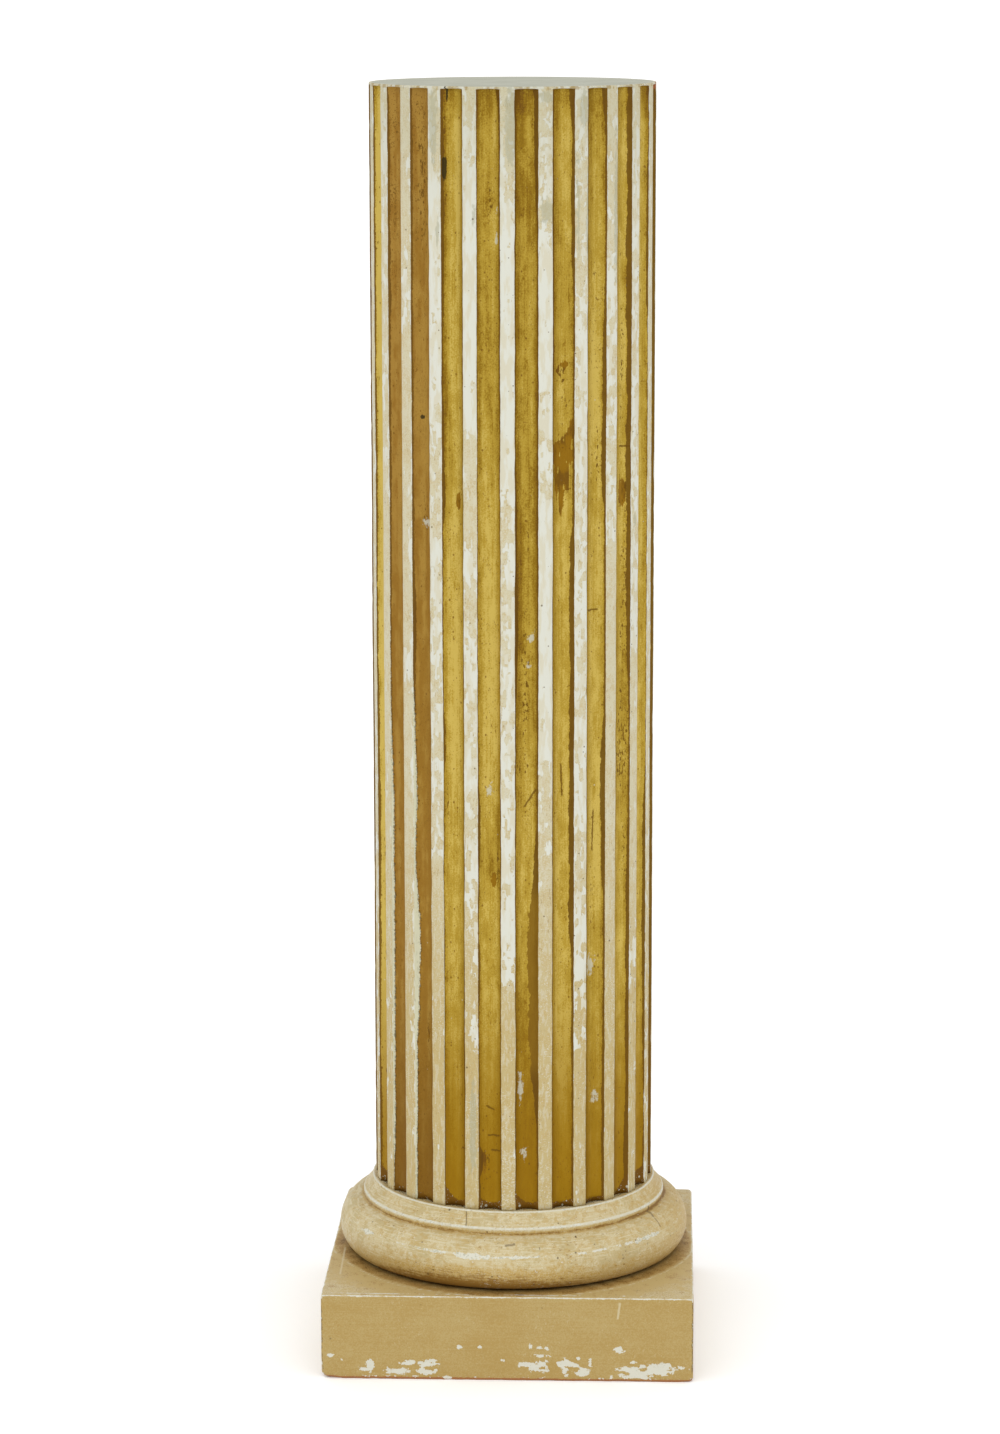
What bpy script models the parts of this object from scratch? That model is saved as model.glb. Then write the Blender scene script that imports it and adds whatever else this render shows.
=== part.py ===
"""Fluted column pedestal: a square plinth, a turned base moulding and a fluted round shaft.

Metres, +Z up. The pedestal stands on the plane z = 0 with its axis on Z, and its front faces -Y.
"""
import math

import bmesh
import bpy

# Clearance left between two pieces that rest on each other
JOINT_GAP = 0.0003

# Fluted shaft: the flutes take up what the fillets leave of its round
SHAFT_RADIUS = 0.1200
SHAFT_HEIGHT = 0.9402
SHAFT_EDGE_RADIUS = 0.0015
TOP_LIP_THICKNESS = 0.0030
FLUTE_COUNT = 24
FILLET_WIDTH = 0.0119
FLUTE_DEPTH = 0.0050

# Turned base moulding, from the plinth up: a torus, a short fillet and a ring with a hollow face.
# Each radius is the one above it and a projection, starting from the shaft.
LEDGE_WIDTH = 0.0027
RING_FLARE = 0.0081
TORUS_PROJECTION = 0.0204
TORUS_UNDERCUT = 0.0150
TORUS_LOWER_RISE = 0.0206
TORUS_UPPER_RISE = 0.0244
RING_FILLET_HEIGHT = 0.0052
RING_COVE_HEIGHT = 0.0132
RING_COVE_SAG = 0.0012
RING_ARRIS_RADIUS = 0.0010

# Square plinth: its sides stand out from the torus by a margin
PLINTH_MARGIN = 0.0057
PLINTH_HEIGHT = 0.0735
PLINTH_CORNER_RADIUS = 0.0045
PLINTH_EDGE_RADIUS = 0.0020

# Facets
TURNING_FACETS = 96
QUARTER_FACETS = 6
ARRIS_FACETS = 2
COVE_FACETS = 4
FLUTE_FACETS = 10
FILLET_FACETS = 2
EDGE_FACETS = 2
SHARP_ANGLE = math.radians(35)
WELD_DISTANCE = 0.00003

# How far each arris of the ring is rounded, in degrees, from the face that leads up to it
LOWER_ARRIS_TURN = 60
UPPER_ARRIS_TURN = 75

# Paint and gilding: colour, roughness, metallic value
OCHRE_PAINT = ((0.42, 0.31, 0.13), 0.62, 0.0)
CREAM_PAINT = ((0.56, 0.48, 0.30), 0.58, 0.0)
AGED_GILDING = ((0.47, 0.34, 0.08), 0.42, 0.6)

# Radii and heights that follow from the sizes above
LEDGE_RADIUS = SHAFT_RADIUS + LEDGE_WIDTH
RING_RADIUS = LEDGE_RADIUS + RING_FLARE
TORUS_RADIUS = RING_RADIUS + TORUS_PROJECTION
TORUS_FOOT_RADIUS = TORUS_RADIUS - TORUS_UNDERCUT
PLINTH_WIDTH = 2 * (TORUS_RADIUS + PLINTH_MARGIN)
FLUTE_PITCH = math.tau / FLUTE_COUNT
TORUS_FOOT_Z = PLINTH_HEIGHT + JOINT_GAP
TORUS_MIDDLE_Z = TORUS_FOOT_Z + TORUS_LOWER_RISE
FILLET_FOOT_Z = TORUS_MIDDLE_Z + TORUS_UPPER_RISE
COVE_FOOT_Z = FILLET_FOOT_Z + RING_FILLET_HEIGHT
LEDGE_Z = COVE_FOOT_Z + RING_COVE_HEIGHT
SHAFT_FOOT_Z = LEDGE_Z + JOINT_GAP
TOP_Z = SHAFT_FOOT_Z + SHAFT_HEIGHT


def clear_scene():
    """Remove the objects of the open file, such as its start-up cube."""
    for item in list(bpy.data.objects):
        bpy.data.objects.remove(item, do_unlink=True)


def surface(name, finish):
    """Make a plain material from its colour, roughness and metallic value."""
    colour, roughness, metallic = finish
    material = bpy.data.materials.new(name)
    material.use_nodes = True
    shader = material.node_tree.nodes["Principled BSDF"]
    shader.inputs["Base Color"].default_value = (*colour, 1.0)
    shader.inputs["Roughness"].default_value = roughness
    shader.inputs["Metallic"].default_value = metallic
    material.diffuse_color = (*colour, 1.0)
    return material


def add_object(name, bm, material):
    """Put a finished bmesh into the scene as one object that shades smooth between its arrises."""
    bmesh.ops.recalc_face_normals(bm, faces=bm.faces)
    mesh = bpy.data.meshes.new(name)
    bm.to_mesh(mesh)
    bm.free()
    mesh.materials.append(material)
    mesh.shade_smooth()
    mesh.set_sharp_from_angle(angle=SHARP_ANGLE)
    item = bpy.data.objects.new(name, mesh)
    bpy.context.scene.collection.objects.link(item)
    return item


def ellipse_arc(centre_r, centre_z, reach_r, reach_z, start, end, facets):
    """Points (r, z) along an ellipse between two angles in degrees, both ends included."""
    points = []
    for step in range(facets + 1):
        angle = math.radians(start + (end - start) * step / facets)
        points.append((centre_r + reach_r * math.cos(angle), centre_z + reach_z * math.sin(angle)))
    return points


def cove(foot, head, sag, facets):
    """Points (r, z) between foot and head along a shallow parabola hollowed towards the axis by its sag."""
    points = []
    for step in range(1, facets):
        share = step / facets
        hollow = 4.0 * sag * share * (1.0 - share)
        points.append((foot[0] + (head[0] - foot[0]) * share - hollow,
                       foot[1] + (head[1] - foot[1]) * share))
    return points


def base_profile():
    """Half section of the base moulding, from the middle of its underside to the middle of its top."""
    profile = [(0.0, TORUS_FOOT_Z)]
    profile += ellipse_arc(TORUS_FOOT_RADIUS, TORUS_MIDDLE_Z, TORUS_RADIUS - TORUS_FOOT_RADIUS,
                           TORUS_LOWER_RISE, -90, 0, QUARTER_FACETS)
    profile += ellipse_arc(RING_RADIUS, TORUS_MIDDLE_Z, TORUS_RADIUS - RING_RADIUS,
                           TORUS_UPPER_RISE, 0, 90, QUARTER_FACETS)[1:]
    lower_arris = ellipse_arc(RING_RADIUS - RING_ARRIS_RADIUS, COVE_FOOT_Z, RING_ARRIS_RADIUS,
                              RING_ARRIS_RADIUS, 0, LOWER_ARRIS_TURN, ARRIS_FACETS)
    upper_arris = ellipse_arc(LEDGE_RADIUS - RING_ARRIS_RADIUS, LEDGE_Z - RING_ARRIS_RADIUS,
                              RING_ARRIS_RADIUS, RING_ARRIS_RADIUS, 90 - UPPER_ARRIS_TURN, 90,
                              ARRIS_FACETS)
    profile += lower_arris
    profile += cove(lower_arris[-1], upper_arris[0], RING_COVE_SAG, COVE_FACETS)
    profile += upper_arris
    profile.append((0.0, LEDGE_Z))
    return profile


def turned_solid(name, profile, material):
    """Turn a half section about the Z axis into one closed solid."""
    bm = bmesh.new()
    corners = [bm.verts.new((r, 0.0, z)) for r, z in profile]
    edges = [bm.edges.new(pair) for pair in zip(corners, corners[1:])]
    bmesh.ops.spin(bm, geom=corners + edges, cent=(0, 0, 0), axis=(0, 0, 1), dvec=(0, 0, 0),
                   angle=math.tau, steps=TURNING_FACETS, use_merge=True)
    bmesh.ops.remove_doubles(bm, verts=bm.verts, dist=WELD_DISTANCE)
    return add_object(name, bm, material)


def flute_outline():
    """Points (angle, radius) of one flute and the fillet after it, from the flute's first edge on.

    The flute is a circular hollow: its radius follows from its width and its depth.
    """
    fillet_angle = 2 * math.asin(FILLET_WIDTH / 2 / SHAFT_RADIUS)
    flute_edge = (FLUTE_PITCH - fillet_angle) / 2
    half_width = SHAFT_RADIUS * math.sin(flute_edge)
    edge_distance = SHAFT_RADIUS * math.cos(flute_edge)
    hollow_radius = (half_width ** 2 + FLUTE_DEPTH ** 2) / (2 * FLUTE_DEPTH)
    hollow_centre = edge_distance - FLUTE_DEPTH + hollow_radius
    opening = math.atan2(half_width, hollow_radius - FLUTE_DEPTH)
    points = []
    for step in range(FLUTE_FACETS + 1):
        turn = opening * (2 * step / FLUTE_FACETS - 1)
        along = hollow_radius * math.sin(turn)
        inward = hollow_centre - hollow_radius * math.cos(turn)
        points.append((math.atan2(along, inward), math.hypot(along, inward)))
    for step in range(1, FILLET_FACETS):
        points.append((flute_edge + fillet_angle * step / FILLET_FACETS, SHAFT_RADIUS))
    return points


def shaft_section():
    """Points (angle, radius) once round the fluted shaft, with a fillet in the middle of the front."""
    first_flute = -math.pi / 2 + FLUTE_PITCH / 2
    section = []
    for flute in range(FLUTE_COUNT):
        centre = first_flute + flute * FLUTE_PITCH
        section += [(centre + angle, radius) for angle, radius in flute_outline()]
    return section


def place(angle, radius, height):
    """Where a point lies that is given by its angle about the axis, its radius and its height."""
    return (radius * math.cos(angle), radius * math.sin(angle), height)


def ring_of_points(bm, section, height):
    """Add one closed ring of vertices at the given height."""
    return [bm.verts.new(place(angle, radius, height)) for angle, radius in section]


def bridge(bm, lower, upper):
    """Join two rings of as many vertices each, leaving out the corners that they share."""
    for index in range(len(lower)):
        after = (index + 1) % len(lower)
        corners = []
        for corner in (lower[index], lower[after], upper[after], upper[index]):
            if corner not in corners:
                corners.append(corner)
        if len(corners) > 2:
            bm.faces.new(corners)


def fluted_shaft(material):
    """The shaft: flutes from its foot to a thin round lip that closes them just below the flat top."""
    bm = bmesh.new()
    section = shaft_section()
    lip_z = TOP_Z - TOP_LIP_THICKNESS
    foot = ring_of_points(bm, section, SHAFT_FOOT_Z)
    head = ring_of_points(bm, section, lip_z)
    lip = []
    for corner, (angle, radius) in zip(head, section):
        if math.isclose(radius, SHAFT_RADIUS):
            lip.append(corner)
        else:
            lip.append(bm.verts.new(place(angle, SHAFT_RADIUS, lip_z)))
    bridge(bm, foot, head)
    bridge(bm, head, lip)
    below = lip
    edge = ellipse_arc(SHAFT_RADIUS - SHAFT_EDGE_RADIUS, TOP_Z - SHAFT_EDGE_RADIUS,
                       SHAFT_EDGE_RADIUS, SHAFT_EDGE_RADIUS, 0, 90, EDGE_FACETS)
    for radius, height in edge:
        above = ring_of_points(bm, [(angle, radius) for angle, _ in section], height)
        bridge(bm, below, above)
        below = above
    bm.faces.new(list(reversed(foot)))
    bm.faces.new(below)
    return add_object("fluted_shaft", bm, material)


def plinth(material):
    """The square plinth: upright corners rounded first, then its top and bottom arrises."""
    bm = bmesh.new()
    bmesh.ops.create_cube(bm, size=1.0)
    bmesh.ops.scale(bm, vec=(PLINTH_WIDTH, PLINTH_WIDTH, PLINTH_HEIGHT), verts=bm.verts)
    bmesh.ops.translate(bm, vec=(0, 0, PLINTH_HEIGHT / 2), verts=bm.verts)
    upright = [edge for edge in bm.edges if edge.verts[0].co.xy == edge.verts[1].co.xy]
    bmesh.ops.bevel(bm, geom=upright, offset=PLINTH_CORNER_RADIUS, segments=QUARTER_FACETS,
                    profile=0.5, affect="EDGES")
    flat = [face for face in bm.faces if abs(face.normal.z) > 0.5]
    rim = {edge for face in flat for edge in face.edges}
    bmesh.ops.bevel(bm, geom=list(rim), offset=PLINTH_EDGE_RADIUS, segments=EDGE_FACETS,
                    profile=0.5, affect="EDGES")
    return add_object("plinth", bm, material)


def main():
    clear_scene()
    plinth(surface("ochre_paint", OCHRE_PAINT))
    turned_solid("base_moulding", base_profile(), surface("cream_paint", CREAM_PAINT))
    fluted_shaft(surface("aged_gilding", AGED_GILDING))


main()
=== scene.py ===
"""The looks of the fluted column pedestal: fine meshes, paint and gilding, floor, light and camera."""
import math

import bpy
import numpy as np
from mathutils import Matrix, Vector


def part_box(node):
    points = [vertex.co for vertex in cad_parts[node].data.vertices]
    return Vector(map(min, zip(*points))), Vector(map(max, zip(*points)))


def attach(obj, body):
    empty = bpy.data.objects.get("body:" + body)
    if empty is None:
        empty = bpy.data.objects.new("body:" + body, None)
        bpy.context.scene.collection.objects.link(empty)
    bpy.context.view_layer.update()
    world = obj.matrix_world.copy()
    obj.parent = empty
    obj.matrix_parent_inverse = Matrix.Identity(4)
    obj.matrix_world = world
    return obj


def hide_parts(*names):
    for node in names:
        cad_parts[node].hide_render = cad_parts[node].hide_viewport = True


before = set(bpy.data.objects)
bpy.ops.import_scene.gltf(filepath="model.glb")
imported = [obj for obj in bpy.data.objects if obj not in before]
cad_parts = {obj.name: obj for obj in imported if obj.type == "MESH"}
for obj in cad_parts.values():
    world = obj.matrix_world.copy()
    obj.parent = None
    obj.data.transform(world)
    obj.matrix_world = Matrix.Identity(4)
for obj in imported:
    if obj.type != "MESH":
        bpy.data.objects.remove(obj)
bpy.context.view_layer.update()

MM = 0.001

# Places read from the frame, in metres
PLINTH_LOW, PLINTH_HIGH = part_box("plinth")
BASE_LOW, BASE_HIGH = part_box("base_moulding")
SHAFT_LOW, SHAFT_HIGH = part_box("fluted_shaft")
SHAFT_RADIUS = SHAFT_HIGH.x
SHAFT_FOOT = SHAFT_LOW.z
SHAFT_TOP = SHAFT_HIGH.z

# Fluted shaft
FLUTE_COUNT = 24
FILLET_WIDTH = 0.0119
FLUTE_DEPTH = 0.005
LIP_THICKNESS = 0.0022
LIP_SLOPE = 0.0007
TOP_EDGE_RADIUS = 0.0009
ARRIS_CUT = 0.0006
FLUTE_STEPS = 12
FILLET_STEPS = 4
SHAFT_ROWS = 169
FINE_ROWS = (0.266, 0.35, 0.0021)
TOP_RINGS = (0.975, 0.9, 0.7, 0.4, 0.15)
ISLAND_SPREAD = 0.152
PITCH = math.tau / FLUTE_COUNT
FLUTE_HALF_ANGLE = PITCH / 2 - math.asin(FILLET_WIDTH / 2 / SHAFT_RADIUS)
FLUTE_HALF_WIDTH = SHAFT_RADIUS * math.sin(FLUTE_HALF_ANGLE)
ARRIS_REACH = 0.0016
CARVING_WAVE = 0.00018
FLUTE_WAVE = 0.0003
NICK_DEPTH = 0.0009
ARRIS_WAVER = 0.00032
BARE_DEPTH = 0.0008
RIM_WEAR = 0.0006
TOP_WAVE = 0.0002
TOP_DISH = 0.0003
FLUTE_RAMP = 0.004
TOP_BROWNING = (0.42, 0.045)
FOOT_BROWNING = (0.2, 0.8, 0.93)
COAT_LIMITS = (0.01, 0.985)
COAT_BLUR = 0.004
MARK_FALL = 0.69

# Base moulding
TORUS_RADIUS = BASE_HIGH.x
TORUS_UNDERCUT = 0.015
TORUS_LOWER_RISE = 0.0206
TORUS_UPPER_RISE = 0.0244
RING_RADIUS = 0.1308
RING_FILLET_HEIGHT = 0.0052
RING_COVE_SAG = 0.0012
RING_ARRIS_RADIUS = 0.001
LEDGE_RADIUS = 0.1227
BASE_COLUMNS = 384
CREST_HEIGHT = 0.1062
BASE_WEAR = 0.0002
BASE_WAVE = 0.00012
TORUS_MIDDLE = BASE_LOW.z + TORUS_LOWER_RISE
RING_FOOT = TORUS_MIDDLE + TORUS_UPPER_RISE
COVE_FOOT = RING_FOOT + RING_FILLET_HEIGHT
LEDGE = BASE_HIGH.z

# Plinth
PLINTH_EDGE_RADIUS = 0.002
PLINTH_STEPS = (0.0016, 0.0035, 0.003)
PLINTH_LOW_ZONE = 0.036
PLINTH_LOW_STEP = 0.0012
PLINTH_WAVE = 0.00016
CHIP_DEPTH = 0.00022
ROUNDING_LIMITS = (0.0007, 0.007)

# The tables below are in millimetres and degrees.
# Where cream paint is left on the front fillets, from the top down. Each run gives the depth below the top
# at which it ends and the share of the fillet that the paint covers there. Fillet 0 faces the front and the
# numbers rise towards +X.
FILLET_COATS = {
    -5: ((940, 0.8),),
    -4: ((22, 0.85), (38, 0.4), (72, 0.03), (175, 0.62), (340, 0.75), (940, 0.96)),
    -3: ((130, 0.96), (205, 0.74), (455, 0.97), (500, 0.65), (940, 0.99)),
    -2: ((65, 0.52), (258, 0.05), (276, 0.42), (305, 0.86), (312, 0.06), (365, 0.66), (420, 0.15),
        (470, 0.48), (635, 0.5), (940, 1)),
    -1: ((38, 0.58), (282, 0.04), (375, 0.88), (405, 0.35), (448, 0.84), (490, 0.14), (535, 0.47),
        (582, 0.1), (610, 0.66), (700, 0.52), (782, 0.98), (800, 0.6), (940, 0.97)),
    0: ((42, 0.9), (90, 0.45), (330, 0.03), (375, 0.8), (385, 0.45), (420, 0.62), (530, 0.42), (625, 0.26),
        (718, 0.15), (740, 0.42), (940, 1)),
    1: ((45, 0.9), (60, 0.12), (75, 0.5), (88, 0.12), (110, 0.8), (235, 0.03), (340, 0.16), (555, 0.03),
        (605, 0.5), (640, 0.85), (940, 1)),
    2: ((28, 0.52), (60, 0.16), (165, 0.72), (340, 0.1), (380, 0.38), (440, 0.24), (520, 0.5), (610, 0.12),
        (670, 0.5), (740, 0.18), (800, 0.62), (940, 0.98)),
    3: ((25, 0.86), (40, 0.35), (135, 0.86), (175, 0.42), (290, 0.56), (318, 0.84), (375, 0.25),
        (940, 0.99)),
    4: ((30, 0.86), (75, 0.3), (235, 0.52), (470, 0.28), (717, 0.95), (740, 0.1), (940, 0.96)),
    5: ((940, 0.8),),
}

# Tone of the gold in each front flute, from 0, pale, to 1, brown; flute 0 lies right of fillet 0. Flute -5,
# near the left edge of the view, is set paler than pale: a painted reflection.
FLUTE_TONES = {-6: 0.5, -5: -0.25, -4: 0.62, -3: 0.7, -2: 0.14, -1: 0.16, 0: 0.48, 1: 0.26, 2: 0.12,
               3: 0.18, 4: 0.16, 5: 0.1}

# Flutes whose gilding has gone matt and brown, and how far
MATT_FLUTES = {-6: 0.5, -4: 0.95, -3: 0.85, 9: 0.7, 10: 0.85, -10: 0.6}

# Reach of the dark band along the left and the right wall of each front flute: depth, reach. The bands are
# partly brown gilding and partly painted shade on the walls of the hollow; the wide starts at the top of
# some right walls are painted shadow under the lip.
DARK_LEFT = {
    -5: ((0, 0.8), (50, 1.3), (470, 1.2), (600, 2.2), (700, 1.8), (820, 1), (880, 2), (940, 1)),
    -4: ((0, 0.6), (20, 1.5), (180, 1.7), (470, 1)),
    -3: ((0, 1.3), (380, 1.3), (440, 2.4), (500, 1.4), (940, 1.2)),
    -2: ((0, 1.5), (60, 2.5), (240, 1), (340, 2.4), (360, 0.8), (510, 0.8), (540, 2.2), (570, 0.8)),
    -1: ((0, 0.6), (570, 0.6), (600, 2), (660, 1.2), (700, 0.8), (730, 1.8), (780, 0.8), (885, 1),
        (892, 3.5), (906, 3), (912, 1), (940, 2)),
    0: ((0, 1.8), (60, 1.2), (300, 1), (330, 2), (460, 3), (500, 1.4), (600, 1), (940, 1)),
    1: ((0, 1.4), (220, 2.2), (235, 1.5), (300, 1), (940, 0.8)),
    2: ((0, 1.4), (150, 1.8), (300, 1.1), (940, 0.9)),
    3: ((0, 0.9), (940, 0.7)),
    4: ((0, 0.7), (940, 0.8)),
    5: ((0, 0.2),),
}
DARK_RIGHT = {
    -5: ((0, 0.3),),
    -4: ((0, 0.3),),
    -3: ((0, 0.5),),
    -2: ((0, 0.8), (470, 0.9), (700, 1.4), (780, 1.8), (870, 1)),
    -1: ((0, 6), (14, 2.4), (30, 1.2), (90, 1.4), (220, 1.2), (350, 0.7), (940, 0.9)),
    0: ((0, 3.6), (90, 2.6), (110, 1.2), (580, 1.4), (605, 1.4), (640, 3.6), (700, 8), (790, 7.8),
        (830, 4.8), (865, 1.5), (940, 1)),
    1: ((0, 4.6), (40, 1.8), (60, 2.6), (140, 2.4), (160, 1.2), (235, 1.2), (360, 1.5), (375, 3),
        (470, 3.2), (700, 3.4), (720, 1.6), (940, 1.3)),
    2: ((0, 4), (30, 1.4), (140, 1), (235, 2.5), (330, 3), (345, 1.2), (520, 1.2), (550, 3), (650, 3),
        (680, 1.2), (760, 1.4), (940, 1.8)),
    3: ((0, 3.4), (60, 3.6), (235, 3.2), (260, 2.6), (330, 4.2), (345, 3), (470, 2.4), (500, 1.2),
        (600, 0.9), (660, 2.2), (840, 2.2), (900, 3)),
    4: ((0, 2), (15, 0.5), (55, 0.5), (75, 1.5), (180, 1.5), (190, 0.4), (570, 0.4), (610, 2.3), (700, 2.5),
        (820, 1.5), (880, 0.4), (940, 2)),
    5: ((0, 2.5),),
}

# Reach of cream paint that runs over the left wall of two flutes: depth, reach
OVERPAINT_LEFT = {
    -4: ((240, 0), (530, 0.4), (590, 1.6), (800, 1.6), (900, 1.2), (920, 0.4)),
    -3: ((480, 0), (540, 1.6), (590, 2.4), (640, 1.2), (660, 1.6), (690, 3.4), (725, 3.8), (770, 3),
        (800, 1.8), (940, 1.2)),
}

# Height above the shaft's foot at which the gilding ends: at the left wall, the middle and the right wall
FOOT_LINES = {-5: (14, 8, 8), -4: (8, 3, 3), -3: (8, 3, 2), -2: (18, 5, 9), -1: (11, 5, 9), 0: (16, 6, 8),
              1: (6, 4, 7), 2: (4, 3, 6), 3: (3, 4, 19), 4: (10, 12, 16)}
USUAL_FOOT_LINE = (11, 5, 10)

# Marks on the shaft: angle from the front in degrees, depth below the top, half width and half height
WORN_PATCHES = ((22.3, 297.5, 18, 10), (26.4, 278.5, 2.6, 8), (25, 285, 3, 4), (21.6, 314, 6, 13),
    (22.2, 335, 2.4, 15), (20, 323, 1.7, 13), (24.6, 318, 1.8, 14), (23.4, 226, 4.2, 3),
    (20.6, 229, 1.8, 3.4), (21.6, 238.5, 4.6, 1.5), (53.8, 335, 4.2, 12), (-20.8, 337.5, 2.2, 7.5),
    (-6, 655, 2.8, 6), (-10.3, 900, 2.2, 9), (-36.5, 794, 2, 4))
KEPT_GILDING = ((26.6, 292.5, 1, 2), (21.8, 299, 0.7, 2), (20.6, 312, 0.5, 3))
# Changes of the gold's tone, with the change last; a negative change makes it paler. The narrow pale marks
# in the right half of flutes -2 and -1 near the top are painted reflections of the light.
TONE_AND_SHEEN_MARKS = ((54.5, 151, 4, 8, 0.3), (-7.5, 648, 12, 13, 0.16), (5.4, 560, 2.4, 70, 0.1),
    (7.5, 560, 10, 60, -0.16), (37.5, 740, 9, 60, 0.14), (37.5, 340, 8, 12, 0.1), (7.5, 88, 10, 20, 0.34),
    (4.4, 400, 4.2, 75, 0.3), (4.3, 525, 2.4, 40, 0.1), (7.5, 15, 12, 28, 0.08), (-67.5, 650, 6, 70, 0.5),
    (-22.5, 640, 10, 80, 0.2), (37.5, 330, 8, 40, 0.14), (52.5, 470, 8, 40, 0.2), (-7.5, 622, 11, 38, 0.32),
    (-8.2, 92, 5.5, 4.5, 0.3), (-26, 90, 3.2, 95, 0.34), (-25.6, 285, 4.2, 55, 0.42),
    (-20.6, 90, 2.6, 95, -0.3), (-7.5, 410, 10, 110, -0.16), (-22.5, 520, 10, 160, -0.12),
    (22.5, 800, 9, 110, -0.22), (10.4, 170, 5, 70, -0.14), (-5.2, 30, 2, 30, -0.3),
    (52.2, 600, 8, 80, 0.16), (66.5, 760, 6, 60, 0.35), (7.5, 640, 9, 70, -0.16), (37.5, 810, 8, 50, 0.14),
    (52, 840, 6, 60, 0.22), (22.5, 900, 9, 50, 0.2), (20, 120, 3, 60, 0.2), (37, 30, 7, 40, 0.18),
    (-7.5, 150, 10, 150, 0.34), (-22.5, 150, 9, 70, 0.16), (7.5, 880, 10, 80, 0.3),
    (-22.5, 870, 10, 90, 0.22), (-7.5, 890, 10, 60, 0.2), (37.5, 110, 9, 60, 0.2),
    (37.5, 250, 6, 40, -0.12))
DARK_MARKS = ((-26.1, 65.5, 1.7, 10), (-25, 4, 0.9, 6), (-38.2, 270, 2.2, 2))
PALE_SMUDGES = ((-4.2, 99, 1.4, 3.2), (-4.6, 122, 2, 3.6), (9.6, 450, 3.4, 4), (8.6, 472, 2.2, 3),
    (-7.7, 579, 3.4, 4.5), (36, 733, 5, 8.5), (38.6, 848, 3.6, 5), (6.3, 892, 2.8, 5), (4.9, 832, 2.6, 12),
    (-35.8, 358, 5.5, 4))
FILLET_SMUDGES = ((1.4, 30, 4.8, 34), (15.3, 99, 5, 10), (32.9, 105, 1.4, 40), (28.2, 100, 1.5, 60),
    (31, 16, 4, 14), (15, 8, 6, 5), (-30.5, 30, 4, 30), (-28.6, 118, 1.8, 12), (60, 360, 2, 6),
    (47, 100, 2, 70), (-13.2, 105, 1.6, 10), (-14.5, 870, 3, 40))

# Where the gilding is crowded with small dark flakes and scratches
FLAKY_PARTS = ((-37.5, 70, 6, 80), (-25.6, 20, 1.6, 34), (-25.6, 88, 1, 22), (55.3, 395, 2.2, 70),
    (53, 455, 3, 18), (52.5, 558, 4, 16), (54, 545, 6, 50), (38.3, 150, 2.6, 5), (39.2, 300, 1.4, 36),
    (22.4, 231, 4.4, 11), (24, 256, 2.4, 16), (20, 262, 1.6, 10), (68, 160, 2.4, 20), (67.2, 285, 1.3, 26),
    (66.5, 100, 2, 14), (-68.6, 640, 2.4, 44), (-68, 735, 3, 30), (-68.5, 850, 2.2, 34), (-9, 905, 3, 14),
    (-36.5, 792, 2.6, 22), (-37.6, 268, 2.2, 4), (-36.5, 350, 3, 16), (-20, 332, 2.2, 9), (7, 500, 3.4, 60),
    (37.6, 667, 2.2, 4), (-4.2, 650, 1.6, 22), (-26, 600, 1.2, 40), (8.4, 372, 1.4, 18), (4.8, 560, 2, 14),
    (55.5, 640, 1.4, 30), (53.5, 240, 2, 60), (-7, 90, 4, 14), (-24.6, 236, 2, 8), (37.8, 200, 1, 30))

# Paint lost or kept on one side of a fillet: angle, depth, half width, half height, change of the share
COAT_MARKS = ((1.7, 68, 2.6, 26, 0.6), (-2, 60, 2, 20, -0.6), (-28.6, 40, 2.4, 30, 0.4),
    (-32, 40, 2.4, 30, -0.4), (-14.2, 20, 2.6, 20, 0.35), (-42.8, 500, 1.2, 300, -0.55),
    (0.2, 395, 2.2, 20, -0.5), (-15.8, 388, 3, 12, -0.45), (28.6, 200, 1.6, 150, 0.3),
    (29, 640, 1.6, 60, 0.35), (-17, 720, 1.8, 60, 0.35), (-13.2, 720, 1.6, 60, -0.35))

# Wood laid bare on the top edge: angle, depth, half width and half height
BARE_EDGES = ((87, 2, 6, 4), (12.8, 3.5, 1, 2.2), (-128, 2, 8, 3), (150, 2, 6, 3), (-171, 1, 10, 2))

# Fine cracks in the gilding: angle and depth at either end
GILDING_CRACKS = ((-9, 876, -3.4, 875.5), (-7.6, 889, -3.2, 888.5), (-9.6, 850, -5.8, 854),
    (52, 296, 57.4, 296.8), (6.6, 593.5, 11.6, 576.5), (-20, 888, -18.2, 888.4), (37.2, 636, 37.9, 598),
    (22.2, 556, 22.9, 586), (34, 430, 39.8, 429.6))

# Chips near the foot of the plinth's front: middle x and z, half width and half height
PLINTH_CHIPS = ((-115.5, 12.5, 3.5, 6.2), (-119, 8.5, 6.5, 2.2), (-83, 14.5, 6.5, 2.6), (-67, 14, 6.2, 3.4),
    (-93, 7, 11.5, 2.4), (-68, 7, 8.5, 2.4), (-78, 3, 4, 1), (18, 14, 7.5, 2), (23.5, 12, 6.5, 3.2),
    (30, 14, 4.5, 3), (48, 15, 6.2, 2.4), (50, 17, 3, 3.6), (56, 14, 5, 1.8), (49, 7.8, 3.2, 3.2),
    (64, 8.2, 5.2, 3.4), (70, 16, 1.6, 4.2), (102, 11, 8.5, 2.2), (112, 8, 8.5, 2.6), (108, 4.5, 15, 1.8),
    (130, 13, 16, 2.6), (127, 9, 10, 3), (135, 15, 6, 2.2), (94, 28, 3.2, 2.2), (-150, 21, 3, 1.4),
    (-139, 17, 1.4, 1), (-40, 29, 1.8, 1.6), (-23, 29, 1.6, 1), (-4, 18, 1.8, 1.2), (20, 31, 1.2, 2.6),
    (27.5, 29, 2.6, 0.9), (33.5, 29, 1.8, 1.4), (29, 22, 5.5, 1.1), (60, 20, 2.2, 1.2), (106, 17, 1.8, 1.1),
    (-50, 2, 4, 1.2), (33, 9, 2.6, 1.2))

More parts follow.
